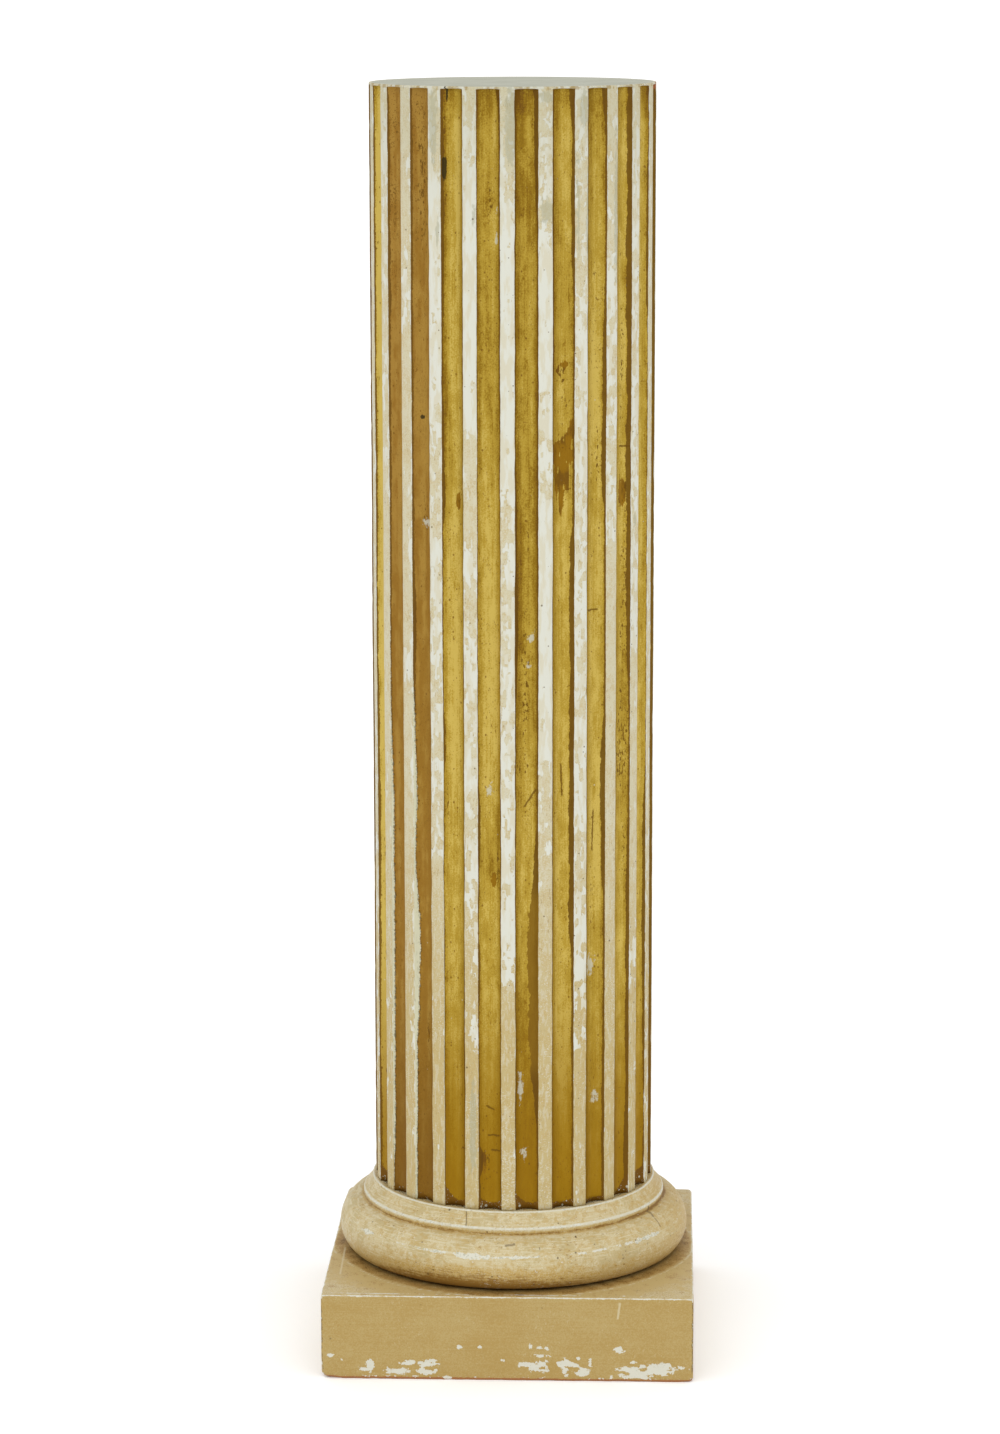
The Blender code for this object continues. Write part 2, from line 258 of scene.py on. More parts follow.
# Worn corners of the plinth: low or high side in x, y and z, reach, and how much rounder the corner is
WORN_CORNERS = ((0, 0, 0, 14, 4.5), (1, 0, 1, 7, 2.4), (1, 0, 0, 10, 2.4), (0, 1, 1, 20, 3.5),
    (1, 1, 1, 10, 1.5), (1, 1, 0, 16, 3))
TOP_SCRATCH = ((-0.1445, -0.104), (-0.146, -0.023))
PALE_DRIP = ((0.093, 0.0545), (0.095, 0.07))

# White wear along the crest of the torus: angle, spread, added share and added width
CREST_WEAR = ((-55, 4.5, 0.62, 0.8), (-36, 7, 0.42, 0), (-22, 8, 0.45, 0.2), (-12, 6, 0.62, 1.9),
    (3, 6, 0.5, 0), (27, 5, 0.3, 0), (40, 7, 0.4, 0), (53, 9, 0.75, 0.8), (64, 4, -0.3, 0),
    (110, 12, 0.5, 0.5), (160, 9, 0.4, 1), (-100, 14, 0.4, 0.4), (-145, 9, 0.5, 0.3))

# Hairline cracks of the base moulding, angle and depth below its top at either end, and its pits: angle,
# height, size
BASE_CRACKS = ((65.1, 16, 61.2, 21), (61.4, 21, 61, 28.5), (-17, 1, -15.9, 12.5), (-1, 23.3, 2.8, 22.5))
BASE_PITS = ((64.8, 121.7, 1.3), (68.8, 93, 1), (24.2, 117, 0.8), (30.2, 110.8, 0.7), (30.5, 109, 1),
    (41, 100.5, 0.9), (18, 119.5, 0.7), (-38, 99, 0.9), (-24, 135.2, 1.2), (-140, 112, 1), (120, 100, 1.2))


def colour(red, green, blue):
    """A colour seen on screen, 0 to 255, as linear values for a shader."""
    screen = [channel / 255 for channel in (red, green, blue)]
    linear = [c / 12.92 if c <= 0.04045 else ((c + 0.055) / 1.055) ** 2.4 for c in screen]
    return (*linear, 1.0)


GESSO = colour(210, 210, 197)
GESSO_WARM = colour(205, 200, 178)
CREAM_HIGH = colour(199, 191, 160)
CREAM_LOW = colour(187, 169, 120)
OVERPAINT = colour(205, 203, 174)
SMUDGE = colour(162, 160, 134)
GOLD_PALE = colour(198, 172, 84)
GOLD_MID = colour(176, 146, 52)
GOLD_DEEP = colour(142, 109, 20)
GOLD_BROWN = colour(112, 76, 14)
GOLD_WARM = colour(146, 107, 2)
MATT_BROWN = colour(147, 107, 36)
MATT_LIGHT = colour(163, 126, 54)
WORN_BROWN = colour(138, 98, 10)
EDGE_BROWN = colour(102, 70, 12)
BROWN_AND_SHADE_BAND = colour(124, 90, 18)
DARK_STAIN = colour(48, 40, 14)
DUST = colour(198, 199, 182)
TOP_GREY = colour(161, 162, 144)
TOP_GREY_LIGHT = colour(173, 174, 157)
BASE_CREAM = colour(184, 167, 122)
BASE_LIGHT = colour(204, 194, 160)
BASE_OCHRE = colour(181, 152, 88)
BASE_BROWN = colour(136, 101, 42)
PLINTH_OCHRE = colour(178, 155, 100)
PLINTH_DEEP = colour(169, 141, 80)
PLINTH_TOP = colour(186, 163, 110)
PLINTH_PALE = colour(198, 185, 148)
SOIL_AND_SHADE_BROWN = colour(160, 124, 62)
SPECK = colour(88, 70, 40)
JOINT_DARK = colour(50, 28, 2)
RED_WOOD = colour(150, 88, 50)


def smooth_noise(points, size, seed):
    """Smooth noise from -1 to 1 at each point; size is how large its features are, for all axes or each."""
    scaled = np.asarray(points, float) / np.asarray(size, float) + seed * 17.31
    cell = np.floor(scaled).astype(np.int64)
    part = scaled - cell
    part = part * part * (3 - 2 * part)
    total = np.zeros(len(scaled))
    for corner in range(8):
        step = np.array([corner & 1, corner >> 1 & 1, corner >> 2 & 1])
        weight = np.prod(np.where(step == 1, part, 1 - part), axis=1)
        total += weight * lattice_value(cell + step, seed)
    return total


def lattice_value(cells, seed):
    """One pseudo-random value from -1 to 1 for each cell of whole numbers."""
    mixed = np.full(len(cells), (seed * 2654435761) & 0xFFFFFFFF, dtype=np.uint64)
    for axis, factor in enumerate((73856093, 19349663, 83492791)):
        mixed ^= (cells[:, axis] & 0xFFFFFFFF).astype(np.uint64) * factor & 0xFFFFFFFF
        mixed = (mixed ^ mixed >> 15) * 739982445 & 0xFFFFFFFF
        mixed ^= mixed >> 12
    return mixed.astype(float) / 2 ** 31 - 1


def smooth_step(value, low, high):
    """0 below low, 1 above high and a smooth rise between them."""
    share = np.clip((value - low) / (high - low), 0, 1)
    return share * share * (3 - 2 * share)


def padded(values, length):
    """The values with zeros after them up to that length."""
    return np.concatenate([values, np.zeros(length - len(values))]).astype(np.float32)


def make_piece(name, node, materials, vertices, faces, attributes, face_slots=None, around=None):
    """Build one closed mesh piece that stands for a node of the frame, with its vertex attributes.

    Around is how far each vertex lies round the piece.
    """
    mesh = bpy.data.meshes.new(name)
    mesh.from_pydata(vertices.tolist(), [], faces)
    for material in materials:
        mesh.materials.append(material)
    if face_slots is not None:
        mesh.polygons.foreach_set("material_index", face_slots)
    for key, values in attributes.items():
        layer = mesh.attributes.new(key, "FLOAT", "POINT")
        layer.data.foreach_set("value", padded(values, len(vertices)))
    if around is not None:
        wrap = np.stack([padded(around, len(vertices)), vertices[:, 2]], axis=1).astype(np.float32)
        layer = mesh.uv_layers.new(name="wrap")
        corner_vertices = np.zeros(len(mesh.loops), np.int32)
        mesh.loops.foreach_get("vertex_index", corner_vertices)
        layer.data.foreach_set("uv", wrap[corner_vertices].ravel())
    mesh.shade_smooth()
    piece = bpy.data.objects.new(name, mesh)
    bpy.context.scene.collection.objects.link(piece)
    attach(piece, "root")
    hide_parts(node)


def capped_tube(rings, columns, top, foot):
    """A closed skin over stacked rings that run up and turn to the left: all its vertices and faces."""
    vertices = np.concatenate([rings, [(0.0, 0.0, top), (0.0, 0.0, foot)]])
    last_row = len(rings) - columns
    pairs = [(column, (column + 1) % columns) for column in range(columns)]
    faces = [(row + here, row + after, row + columns + after, row + columns + here)
             for row in range(0, last_row, columns) for here, after in pairs]
    faces += [(last_row + here, last_row + after, len(vertices) - 2) for here, after in pairs]
    faces += [(after, here, len(vertices) - 1) for here, after in pairs]
    return vertices, faces


class Finish:
    """A material under construction. Each method adds nodes and returns their output.

    Sizes are in millimetres: one for all axes, two for sideways and up, or one for each axis.
    """

    def __init__(self, name):
        self.material = bpy.data.materials.new(name)
        self.material.use_nodes = True
        self.nodes = self.material.node_tree.nodes
        self.links = self.material.node_tree.links
        self.shader = self.nodes["Principled BSDF"]
        self.place = self.node("TexCoord").outputs["Object"]

    def feed(self, socket, value):
        if isinstance(value, bpy.types.NodeSocket):
            self.links.new(value, socket)
        else:
            socket.default_value = value

    def node(self, kind, inputs=(), **settings):
        """Add one node with its settings, and feed its inputs, which are named or numbered."""
        node = self.nodes.new("ShaderNode" + kind)
        for key, value in settings.items():
            setattr(node, key, value)
        for key, value in dict(inputs).items():
            self.feed(node.inputs[key], value)
        return node

    def maths(self, operation, *values):
        return self.node("Math", enumerate(values), operation=operation).outputs[0]

    def stretched(self, size, seed):
        """The place on the piece, scaled so that one unit is one feature of that size."""
        sizes = size if isinstance(size, tuple) else (size, size)
        if len(sizes) == 2:
            sizes = (sizes[0], *sizes)
        inputs = {"Vector": self.place, "Scale": [1 / (s * MM) for s in sizes],
                  "Location": (seed * 3.7, seed * 5.3, seed * 7.1)}
        return self.node("Mapping", inputs).outputs[0]

    def noise(self, size, seed, detail=2.0, roughness=0.55):
        """Noise from 0 to 1."""
        inputs = {"Vector": self.stretched(size, seed), "Scale": 1.0, "Detail": detail,
                  "Roughness": roughness}
        return self.node("TexNoise", inputs).outputs[0]

    def cells(self, size, seed, metric="EUCLIDEAN"):
        """A cell pattern: the distance to the nearest cell's middle, and a random value for each cell."""
        node = self.node("TexVoronoi", {"Vector": self.stretched(size, seed), "Scale": 1.0}, distance=metric)
        return node.outputs["Distance"], self.node("SeparateColor", {0: node.outputs["Color"]}).outputs[0]

    def specks(self, size, seed, share, reach):
        """Small round spots in that share of the cells; reach is their radius in cell sizes."""
        distance, lot = self.cells(size, seed)
        radius = self.rise(lot, 1 - share, 1.0, 0.0, reach, smooth=False)
        return self.rise(self.less(radius, distance), 0.0, 0.1)

    def flecks(self, size, seed, level=0.66, spread=0.3):
        """Ragged flecks with sharp edges, closer together in some places than in others."""
        crowd = self.swing(35, seed + 1, spread)
        return self.rise(self.plus(self.noise(size, seed, 4.0, 0.65), crowd), level, level + 0.045)

    def rise(self, value, low, high, out_low=0.0, out_high=1.0, smooth=True):
        """Map low..high to out_low..out_high and hold the ends."""
        inputs = {"Value": value, "From Min": low, "From Max": high, "To Min": out_low, "To Max": out_high}
        curve = "SMOOTHSTEP" if smooth else "LINEAR"
        return self.node("MapRange", inputs, interpolation_type=curve).outputs[0]

    def given(self, name):
        """A vertex attribute of the mesh."""
        return self.node("Attribute", attribute_name=name).outputs["Fac"]

    def blend(self, share, first, second):
        """Mix two colours."""
        return self.node("Mix", {0: share, 6: first, 7: second}, data_type="RGBA").outputs[2]

    def between(self, share, first, second):
        """Mix two numbers."""
        return self.node("Mix", {0: share, 2: first, 3: second}, data_type="FLOAT").outputs[0]

    def split_place(self, socket):
        return self.node("SeparateXYZ", {0: socket}).outputs

    def wrapped(self):
        """The unrolled place on the piece: distance round it and height."""
        return self.split_place(self.node("UVMap", uv_map="wrap").outputs[0])[:2]

    def stroke(self, along, up, start, end, width, waver):
        """A thin line on the unrolled surface from start to end, moved sideways by waver."""
        length = math.dist(start, end)
        run, climb = (end[0] - start[0]) / length, (end[1] - start[1]) / length
        along, up = self.less(along, start[0]), self.less(up, start[1])
        across = self.plus(self.times(up, run), self.times(along, -climb), waver)
        forward = self.plus(self.times(along, run), self.times(up, climb))
        past = self.maths("ABSOLUTE", self.less(forward, length / 2))
        thin = self.rise(self.maths("ABSOLUTE", across), width * 0.4, width, 1.0, 0.0)
        return self.times(thin, self.rise(past, length * 0.42, length * 0.5, 1.0, 0.0))

    def cracks(self, lines, radius, top, width, waver):
        """Thin lines round a turned piece: angle and distance below the top at either end."""
        along, up = self.wrapped()
        strokes = []
        for start_angle, start_depth, end_angle, end_depth in lines:
            start = (math.radians(start_angle) * radius, top - start_depth * MM)
            end = (math.radians(end_angle) * radius, top - end_depth * MM)
            strokes.append(self.stroke(along, up, start, end, width, waver))
        return self.most(*strokes)

    def chain(self, operation, first, *others):
        for other in others:
            first = self.maths(operation, first, other)
        return first

    def most(self, *values):
        return self.chain("MAXIMUM", *values)

    def plus(self, *values):
        return self.chain("ADD", *values)

    def times(self, *values):
        return self.chain("MULTIPLY", *values)

    def less(self, value, other):
        return self.maths("SUBTRACT", value, other)

    def swing(self, size, seed, amount, detail=2.0):
        """Noise that swings evenly about 0."""
        return self.times(self.less(self.noise(size, seed, detail), 0.5), amount)

    def laid(self, colour_below, colour_above, share, strength=1.0):
        """One colour laid over another where share is 1."""
        return self.blend(self.times(share, strength), colour_below, colour_above)

    def layers(self, below, *coats):
        """Colours laid over one another in turn: the colour, its share and its strength."""
        for coat in coats:
            below = self.laid(below, *coat)
        return below

    def relief(self, height, distance):
        """Raise the surface by height times distance, on top of what is there already."""
        target = self.shader.inputs["Normal"]
        inputs = {"Distance": distance, "Height": height}
        if target.is_linked:
            inputs["Normal"] = target.links[0].from_socket
        self.feed(target, self.node("Bump", inputs).outputs[0])

    def set(self, **values):
        """Connect or set the shader's inputs: colour, roughness, metallic."""
        names = {"colour": "Base Color", "roughness": "Roughness", "metallic": "Metallic",
                 "specular": "Specular IOR Level"}
        for key, value in values.items():
            self.feed(self.shader.inputs[names[key]], value)
        return self.material


def shaft_finish():
    """Gilding in the flutes and cream paint over white gesso on the fillets, both aged."""
    f = Finish("painted_and_gilded_wood")
    across = f.given("across")
    side = f.given("side")
    up = f.split_place(f.place)[2]
    ragged = f.swing((3, 5), 2, 1.0, detail=3)
    slow = f.swing((20, 30), 3, 1.0)
    fine = f.noise(1.2, 1, detail=2)
    crisp = f.swing(1.7, 20, 1.0, detail=3)
    low = f.rise(up, SHAFT_TOP - 0.7, SHAFT_TOP - 0.93)

    # Fillets: cream paint in blocky islands over gesso
    lot = f.cells((4, 8.2), 6, "CHEBYCHEV")[1]
    small_lot = f.cells((2.4, 3.6), 57, "CHEBYCHEV")[1]
    islands = f.plus(f.swing((10, 24), 7, 1.2, detail=1), f.times(f.less(lot, 0.5), 0.8), 0.5)
    islands = f.plus(islands, f.times(f.less(small_lot, 0.5), 0.16))
    edge_wear = f.rise(across, -0.0012, -0.0003, 0.0, 0.16)
    painted = f.rise(f.less(f.less(f.given("coat"), islands), edge_wear), -0.02, 0.02)
    cream = f.blend(f.rise(up, 0.26, 0.52), CREAM_LOW, CREAM_HIGH)
    grain = f.rise(f.plus(fine, f.swing(11, 8, 0.8)), 0.46, 0.62)
    cream = f.layers(cream, (BASE_OCHRE, grain, 0.36), (GESSO_WARM, f.flecks((1.6, 1), 55, 0.585), 0.8),
                     (BASE_BROWN, f.flecks((1.1, 4.5), 62, 0.63), 0.5),
                     (GESSO_WARM, f.rise(f.swing((2.2, 10), 64, 1.0, detail=4), 0.02, 0.1), 0.4))
    gesso = f.laid(GESSO, GESSO_WARM, f.rise(f.noise((5, 20), 9, 3), 0.45, 0.6))
    fillet = f.blend(painted, gesso, cream)
    smudge = f.rise(f.plus(f.given("smudge"), f.times(ragged, 1.2)), 0.38, 0.62)
    top_grime = f.rise(f.plus(up, f.times(ragged, 0.04)), SHAFT_TOP - 0.13, SHAFT_TOP)
    lip = f.rise(up, SHAFT_TOP - LIP_THICKNESS * 1.6, SHAFT_TOP - LIP_THICKNESS)
    lip_dirt = f.rise(f.swing((5, 20), 63, 1.0, detail=4), 0.02, 0.08)
    fillet_specks = f.most(f.specks(7, 10, 0.16, 0.17), f.specks(3.6, 11, 0.1, 0.24))
    fillet = f.layers(fillet, (SMUDGE, smudge, 0.55), (SMUDGE, top_grime, 0.26),
                      (GOLD_DEEP, f.times(lip, lip_dirt), 0.55), (SPECK, fillet_specks, 0.8),
                      (SMUDGE, f.flecks((1.2, 2.4), 26, 0.68), 0.45))

    # Flutes: gold in upright streaks, paler or browner from place to place
    streak = f.swing((1, 60), 12, 0.62)
    band = f.swing((6, 150), 13, 0.75, detail=1)
    blotch = f.swing((7, 18), 14, 1.0, detail=4)
    patch = f.swing((4, 10), 29, 1.0, detail=5)
    stepped = f.less(f.rise(patch, 0.13, 0.16, 0.0, 0.2), f.rise(patch, -0.13, -0.17, 0.0, 0.12))
    # Towards the walls the gold turns darker: painted shade in the hollow of the flute.
    walls_shade = f.rise(f.maths("ABSOLUTE", side), 0.45, 1.0, 0.0, 0.36)
    grain = f.times(f.less(fine, 0.5), 0.95)
    tone = f.plus(f.given("tone"), streak, band, blotch, stepped, walls_shade, grain)
    gold = f.blend(f.rise(tone, -0.05, 0.36), GOLD_PALE, GOLD_MID)
    gold = f.layers(gold, (GOLD_DEEP, f.rise(tone, 0.36, 0.78)), (GOLD_BROWN, f.rise(tone, 0.78, 1.15)),
                    (GOLD_WARM, low, 0.88))
    matt = f.given("matt")
    browner = f.rise(up, SHAFT_TOP - 0.2, SHAFT_TOP - 0.62, -0.08, 0.14)
    matt_brown = f.blend(f.rise(f.plus(blotch, band, browner), -0.15, 0.15), MATT_LIGHT, MATT_BROWN)
    matt_brown = f.laid(matt_brown, GOLD_BROWN, low, 0.7)
    worn = f.rise(f.plus(f.given("worn"), f.times(ragged, 0.5), f.times(crisp, 0.5), streak), 0.46, 0.52)
    speckled = f.times(matt, f.rise(up, SHAFT_TOP - 0.22, SHAFT_TOP - 0.12, 0.35, 1.0))
    flakes = f.plus(f.noise((1.5, 4.2), 56, 4.0, 0.65), f.times(f.given("flaky"), 0.19))
    broken = f.rise(f.cells((2.2, 3.2), 66, "CHEBYCHEV")[1], 0.4, 0.44)
    gold_specks = f.most(f.specks(6, 15, 0.25, 0.22), f.specks((3, 4), 16, 0.22, 0.32))
    gold_flecks = f.flecks((1.5, 2.8), 34, 0.645)
    gold = f.layers(gold, (matt_brown, matt),
                    (f.blend(f.rise(blotch, -0.05, 0.12), WORN_BROWN, GOLD_BROWN), worn, 0.95),
                    (EDGE_BROWN, f.times(speckled, f.flecks(1.6, 30, 0.585)), 0.75),
                    (GOLD_PALE, f.times(speckled, f.flecks(1.3, 32, 0.62)), 0.35),
                    (EDGE_BROWN, f.times(broken, f.rise(flakes, 0.675, 0.71)), 0.9),
                    (GOLD_BROWN, f.most(gold_specks, gold_flecks), 0.72),
                    (DUST, f.specks(10, 27, 0.2, 0.11), 0.8))

    def band_reach(reach_name):
        reach = f.times(f.given(reach_name), f.plus(slow, f.times(ragged, 0.6), 1.0))
        return f.plus(reach, f.times(ragged, 0.0006), f.times(crisp, 0.001))

    def edge_band(reach_name, from_edge):
        return f.rise(f.less(band_reach(reach_name), from_edge), -0.00015, 0.00025)

    from_left = f.times(f.plus(side, 1.0), FLUTE_HALF_WIDTH)
    from_right = f.times(f.less(1.0, side), FLUTE_HALF_WIDTH)
    # Dark bands along the flute walls: partly brown gilding, partly painted shade in the hollow and painted
    # shadow under the lip.
    dark = f.most(edge_band("dark_left", from_left), edge_band("dark_right", from_right))
    wide = f.rise(f.most(f.given("dark_left"), f.given("dark_right")), 0.0045, 0.0065)
    gold = f.laid(gold, f.blend(wide, EDGE_BROWN, BROWN_AND_SHADE_BAND), dark, 0.88)

    cracks = f.cracks(GILDING_CRACKS, SHAFT_RADIUS, SHAFT_TOP, 0.0011, f.swing(3, 17, 0.0022))
    gold = f.laid(gold, EDGE_BROWN, cracks, 0.8)

    # The gilding stops short of the foot; below it lies dark wood with dust
    below = f.rise(f.plus(f.given("foot"), f.times(ragged, 0.004), f.times(crisp, 0.002)), -0.0004, 0.0006)
    at_foot = f.rise(f.plus(up, f.times(crisp, 0.002)), SHAFT_FOOT + 0.004, SHAFT_FOOT)
    foot_wood = f.blend(at_foot, GOLD_BROWN, EDGE_BROWN)
    foot_wood = f.laid(foot_wood, DUST, f.most(f.specks(3.6, 19, 0.45, 0.4), f.flecks(1.6, 59, 0.62)), 0.8)
    gold = f.blend(below, gold, foot_wood)

    inside = f.rise(f.plus(across, f.times(ragged, 0.0006)), -0.0001, 0.0002)
    covered = edge_band("overpaint", from_left)
    paint = f.blend(covered, gold, f.laid(OVERPAINT, SMUDGE, f.rise(ragged, 0.05, 0.2), 0.5))
    fringe = f.rise(f.maths("ABSOLUTE", f.less(band_reach("overpaint"), from_left)), 0.0004, 0.001, 1.0, 0.0)
    fringe = f.times(fringe, f.rise(crisp, -0.02, 0.05), f.rise(f.given("overpaint"), 0.0003, 0.0006))
    paint = f.laid(paint, DARK_STAIN, fringe, 0.6)
    base = f.blend(inside, fillet, paint)
    stain = f.rise(f.plus(f.given("stain"), f.times(ragged, 0.6)), 0.42, 0.55)
    bare = f.rise(f.plus(f.given("bare"), f.times(ragged, 0.8)), 0.45, 0.58)
    dust = f.rise(f.plus(f.given("dust"), f.times(ragged, 1.6), f.times(crisp, 0.8)), 0.42, 0.75)
    base = f.layers(base, (DARK_STAIN, stain, 0.9), (RED_WOOD, bare, 0.9), (DUST, dust, 0.7))

    gilded = f.times(inside, f.less(1.0, covered), f.less(1.0, below), f.less(1.0, f.times(matt, 0.75)))
    metal = f.times(gilded, f.rise(tone, 0.2, 1.0, 0.55, 0.25))
    rough = f.between(gilded, 0.68, f.rise(blotch, -0.1, 0.1, 0.36, 0.48))
    f.relief(f.times(painted, f.less(1.0, inside)), 0.00012)
    f.relief(f.times(gilded, streak), 0.0002)
    f.relief(fine, 0.00005)
    return f.set(colour=base, roughness=rough, metallic=metal, specular=f.between(inside, 0.25, 0.12))


def top_finish():
    """Grey paint on the flat top."""
    f = Finish("grey_top_paint")
    brush = f.noise((45, 3.5, 10), 21, detail=3)
    tint = f.rise(f.plus(brush, f.swing(30, 22, 1.2, detail=5)), 0.3, 0.7)
    base = f.blend(tint, TOP_GREY, TOP_GREY_LIGHT)
    rim = f.rise(f.plus(f.given("rim"), f.swing(6, 24, 0.7)), 0.45, 0.7)
    base = f.layers(base, (SPECK, f.specks(8, 23, 0.15, 0.12), 0.6), (CREAM_HIGH, rim, 0.8))
    f.relief(brush, 0.0001)
    return f.set(colour=base, roughness=0.6)


def base_finish():
    """Cream paint on the turned base: grainy, with soil and painted shade in the hollows and under the
    torus, and worn white on the arrises.
    """
    f = Finish("cream_paint")
    fine = f.noise(1.1, 31, detail=2)
    cloud = f.swing(18, 32, 1.5, detail=4)
    ring_streak = f.noise((18, 1.1), 33, detail=3)
    ragged = f.swing(5, 34, 1.0, detail=4)
    crisp = f.swing(1.8, 38, 1.0, detail=3)
    grain = f.rise(f.plus(fine, f.times(cloud, 0.7)), 0.44, 0.58)
    base = f.blend(f.rise(f.plus(cloud, f.times(crisp, 0.5)), -0.16, 0.12), BASE_CREAM, BASE_LIGHT)
    # The soil layers darken the underside of the torus and the quirk: painted shade with some soil.
    soil_and_shade = f.plus(f.given("soil_and_shade"), f.times(ragged, 0.8), f.times(f.less(ring_streak, 0.5), 0.9))
    soil_and_shade = f.plus(soil_and_shade, f.times(crisp, 0.4))
    soiled_and_shaded = f.laid(BASE_OCHRE, BASE_LIGHT, f.rise(fine, 0.52, 0.38), 0.35)
    wear = f.rise(f.plus(f.given("wear"), f.times(ragged, 1.9), f.times(crisp, 1.1)), 0.42, 0.64)
    specks = f.most(f.specks(5, 35, 0.26, 0.25), f.specks(12, 36, 0.16, 0.13))
    pits = f.rise(f.given("pits"), 0.45, 0.6)
    cracks = f.cracks(BASE_CRACKS, TORUS_RADIUS, BASE_HIGH.z, 0.0009, f.swing(3, 37, 0.0016))
    dark = f.most(pits, f.times(cracks, 0.7))
    # Dark crust at the joints with the plinth and the shaft: dirt and painted contact shade.
    crust_and_shade = f.rise(f.plus(f.given("crust_and_shade"), f.times(f.less(fine, 0.5), 1.2)), 0.45, 0.65)
    base = f.layers(base, (BASE_OCHRE, grain, 0.36), (BASE_OCHRE, f.rise(ragged, 0.03, 0.1), 0.5),
                    (BASE_LIGHT, f.rise(ring_streak, 0.53, 0.62), 0.8),
                    (BASE_OCHRE, f.rise(f.noise((30, 0.9), 60, 3), 0.54, 0.64), 0.4),
                    (soiled_and_shaded, f.rise(soil_and_shade, 0.14, 0.58)), (BASE_BROWN, f.rise(soil_and_shade, 0.58, 1.05)),
                    (GESSO_WARM, f.rise(f.plus(f.given("arris"), f.times(crisp, 0.6)), 0.3, 0.5), 0.9),
                    (BASE_BROWN, f.flecks((3.2, 1.3), 41, 0.62), 0.55),
                    (GESSO, f.flecks((2.6, 1.5), 43, 0.64), 0.45), (GESSO, wear, 0.85),
                    (SMUDGE, f.times(wear, f.flecks(2.2, 54, 0.55)), 0.6), (SPECK, specks, 0.7),
                    (SPECK, dark, 0.85), (JOINT_DARK, crust_and_shade, 0.9))
    f.relief(fine, 0.00012)
    f.relief(dark, -0.0003)
    f.relief(ring_streak, 0.00005)
    return f.set(colour=base, roughness=f.rise(wear, 0.0, 1.0, 0.52, 0.72), specular=0.25)


def plinth_finish():
    """Brushed ochre paint on the plinth, worn through along its edges and chipped near its foot."""
    f = Finish("ochre_paint")
    along, deep, up = f.split_place(f.place)
    fine = f.noise(1.2, 41, detail=2)
    brush = f.swing((40, 1.1), 42, 0.34, detail=4)
    cloud = f.plus(f.swing((45, 35), 43, 0.55, detail=5), f.rise(up, 0.03, 0.0, 0.0, 0.06))
    ragged = f.swing((4.5, 3), 44, 1.0, detail=4)
    crisp = f.swing(1.8, 49, 1.0, detail=3)
    flake = f.less(f.cells((4.2, 2.6), 50, "CHEBYCHEV")[1], 0.5)
    deeper = f.rise(f.plus(brush, cloud, f.times(f.less(fine, 0.5), 0.8)), -0.2, 0.2)
    front = f.blend(deeper, PLINTH_OCHRE, PLINTH_DEEP)
    front = f.layers(front, (SOIL_AND_SHADE_BROWN, f.flecks((3, 1.6), 61, 0.66), 0.5),
                     (PLINTH_PALE, f.flecks((1.6, 2.8), 65, 0.64), 0.3))
    mottle = f.plus(f.swing(11, 46, 1.5, detail=5), f.times(f.less(fine, 0.5), 1.4), f.times(crisp, 0.6))
    top = f.laid(PLINTH_TOP, PLINTH_PALE, f.rise(f.plus(f.given("pale"), mottle), 0.3, 0.6))
    top = f.laid(top, SOIL_AND_SHADE_BROWN, f.flecks((2.2, 3, 2), 51, 0.61), 0.45)
    upper = f.given("upper")
    base = f.blend(upper, front, top)
    soil_and_shade = f.plus(f.given("soil_and_shade"), f.times(mottle, 1.1, upper))
    foot = f.rise(f.plus(f.given("foot_wear"), f.times(ragged, 0.9)), 0.42, 0.58)
    wear = f.rise(f.plus(f.given("wear"), f.times(ragged, 1.3), f.times(crisp, 0.8)), 0.46, 0.56)
    chips = f.plus(f.given("chips"), f.times(flake, 0.52), f.times(crisp, 0.7), f.times(ragged, 0.4))
    bare = f.most(wear, f.rise(chips, 0.47, 0.53))
    waver = f.swing(3, 47, 0.0012)
    scratch = f.times(upper, f.stroke(along, deep, *TOP_SCRATCH, 0.0011, waver))
    drip = f.times(f.given("front"), f.stroke(along, up, *PALE_DRIP, 0.0013, waver))
    specks = f.most(f.specks(8.5, 45, 0.12, 0.15), f.times(upper, f.specks(3.6, 48, 0.22, 0.28)))
    # The soil layers darken the top next to the torus: dirt and painted contact shade.
    base = f.layers(base, (SOIL_AND_SHADE_BROWN, f.rise(soil_and_shade, 0.34, 0.62), 0.8), (EDGE_BROWN, f.rise(soil_and_shade, 0.8, 1.2), 0.85),
                    (RED_WOOD, foot, 0.75),
                    (SPECK, f.rise(f.plus(f.given("edge_dirt"), ragged), 0.42, 0.58), 0.7),
                    (GESSO, bare, 0.92), (SMUDGE, f.times(bare, f.flecks(1.6, 53, 0.6)), 0.5),
                    (PLINTH_PALE, f.most(scratch, drip), 0.8), (SPECK, specks, 0.5))
    f.relief(brush, 0.00012)
    f.relief(fine, 0.00005)
    return f.set(colour=base, roughness=0.5, specular=0.25)


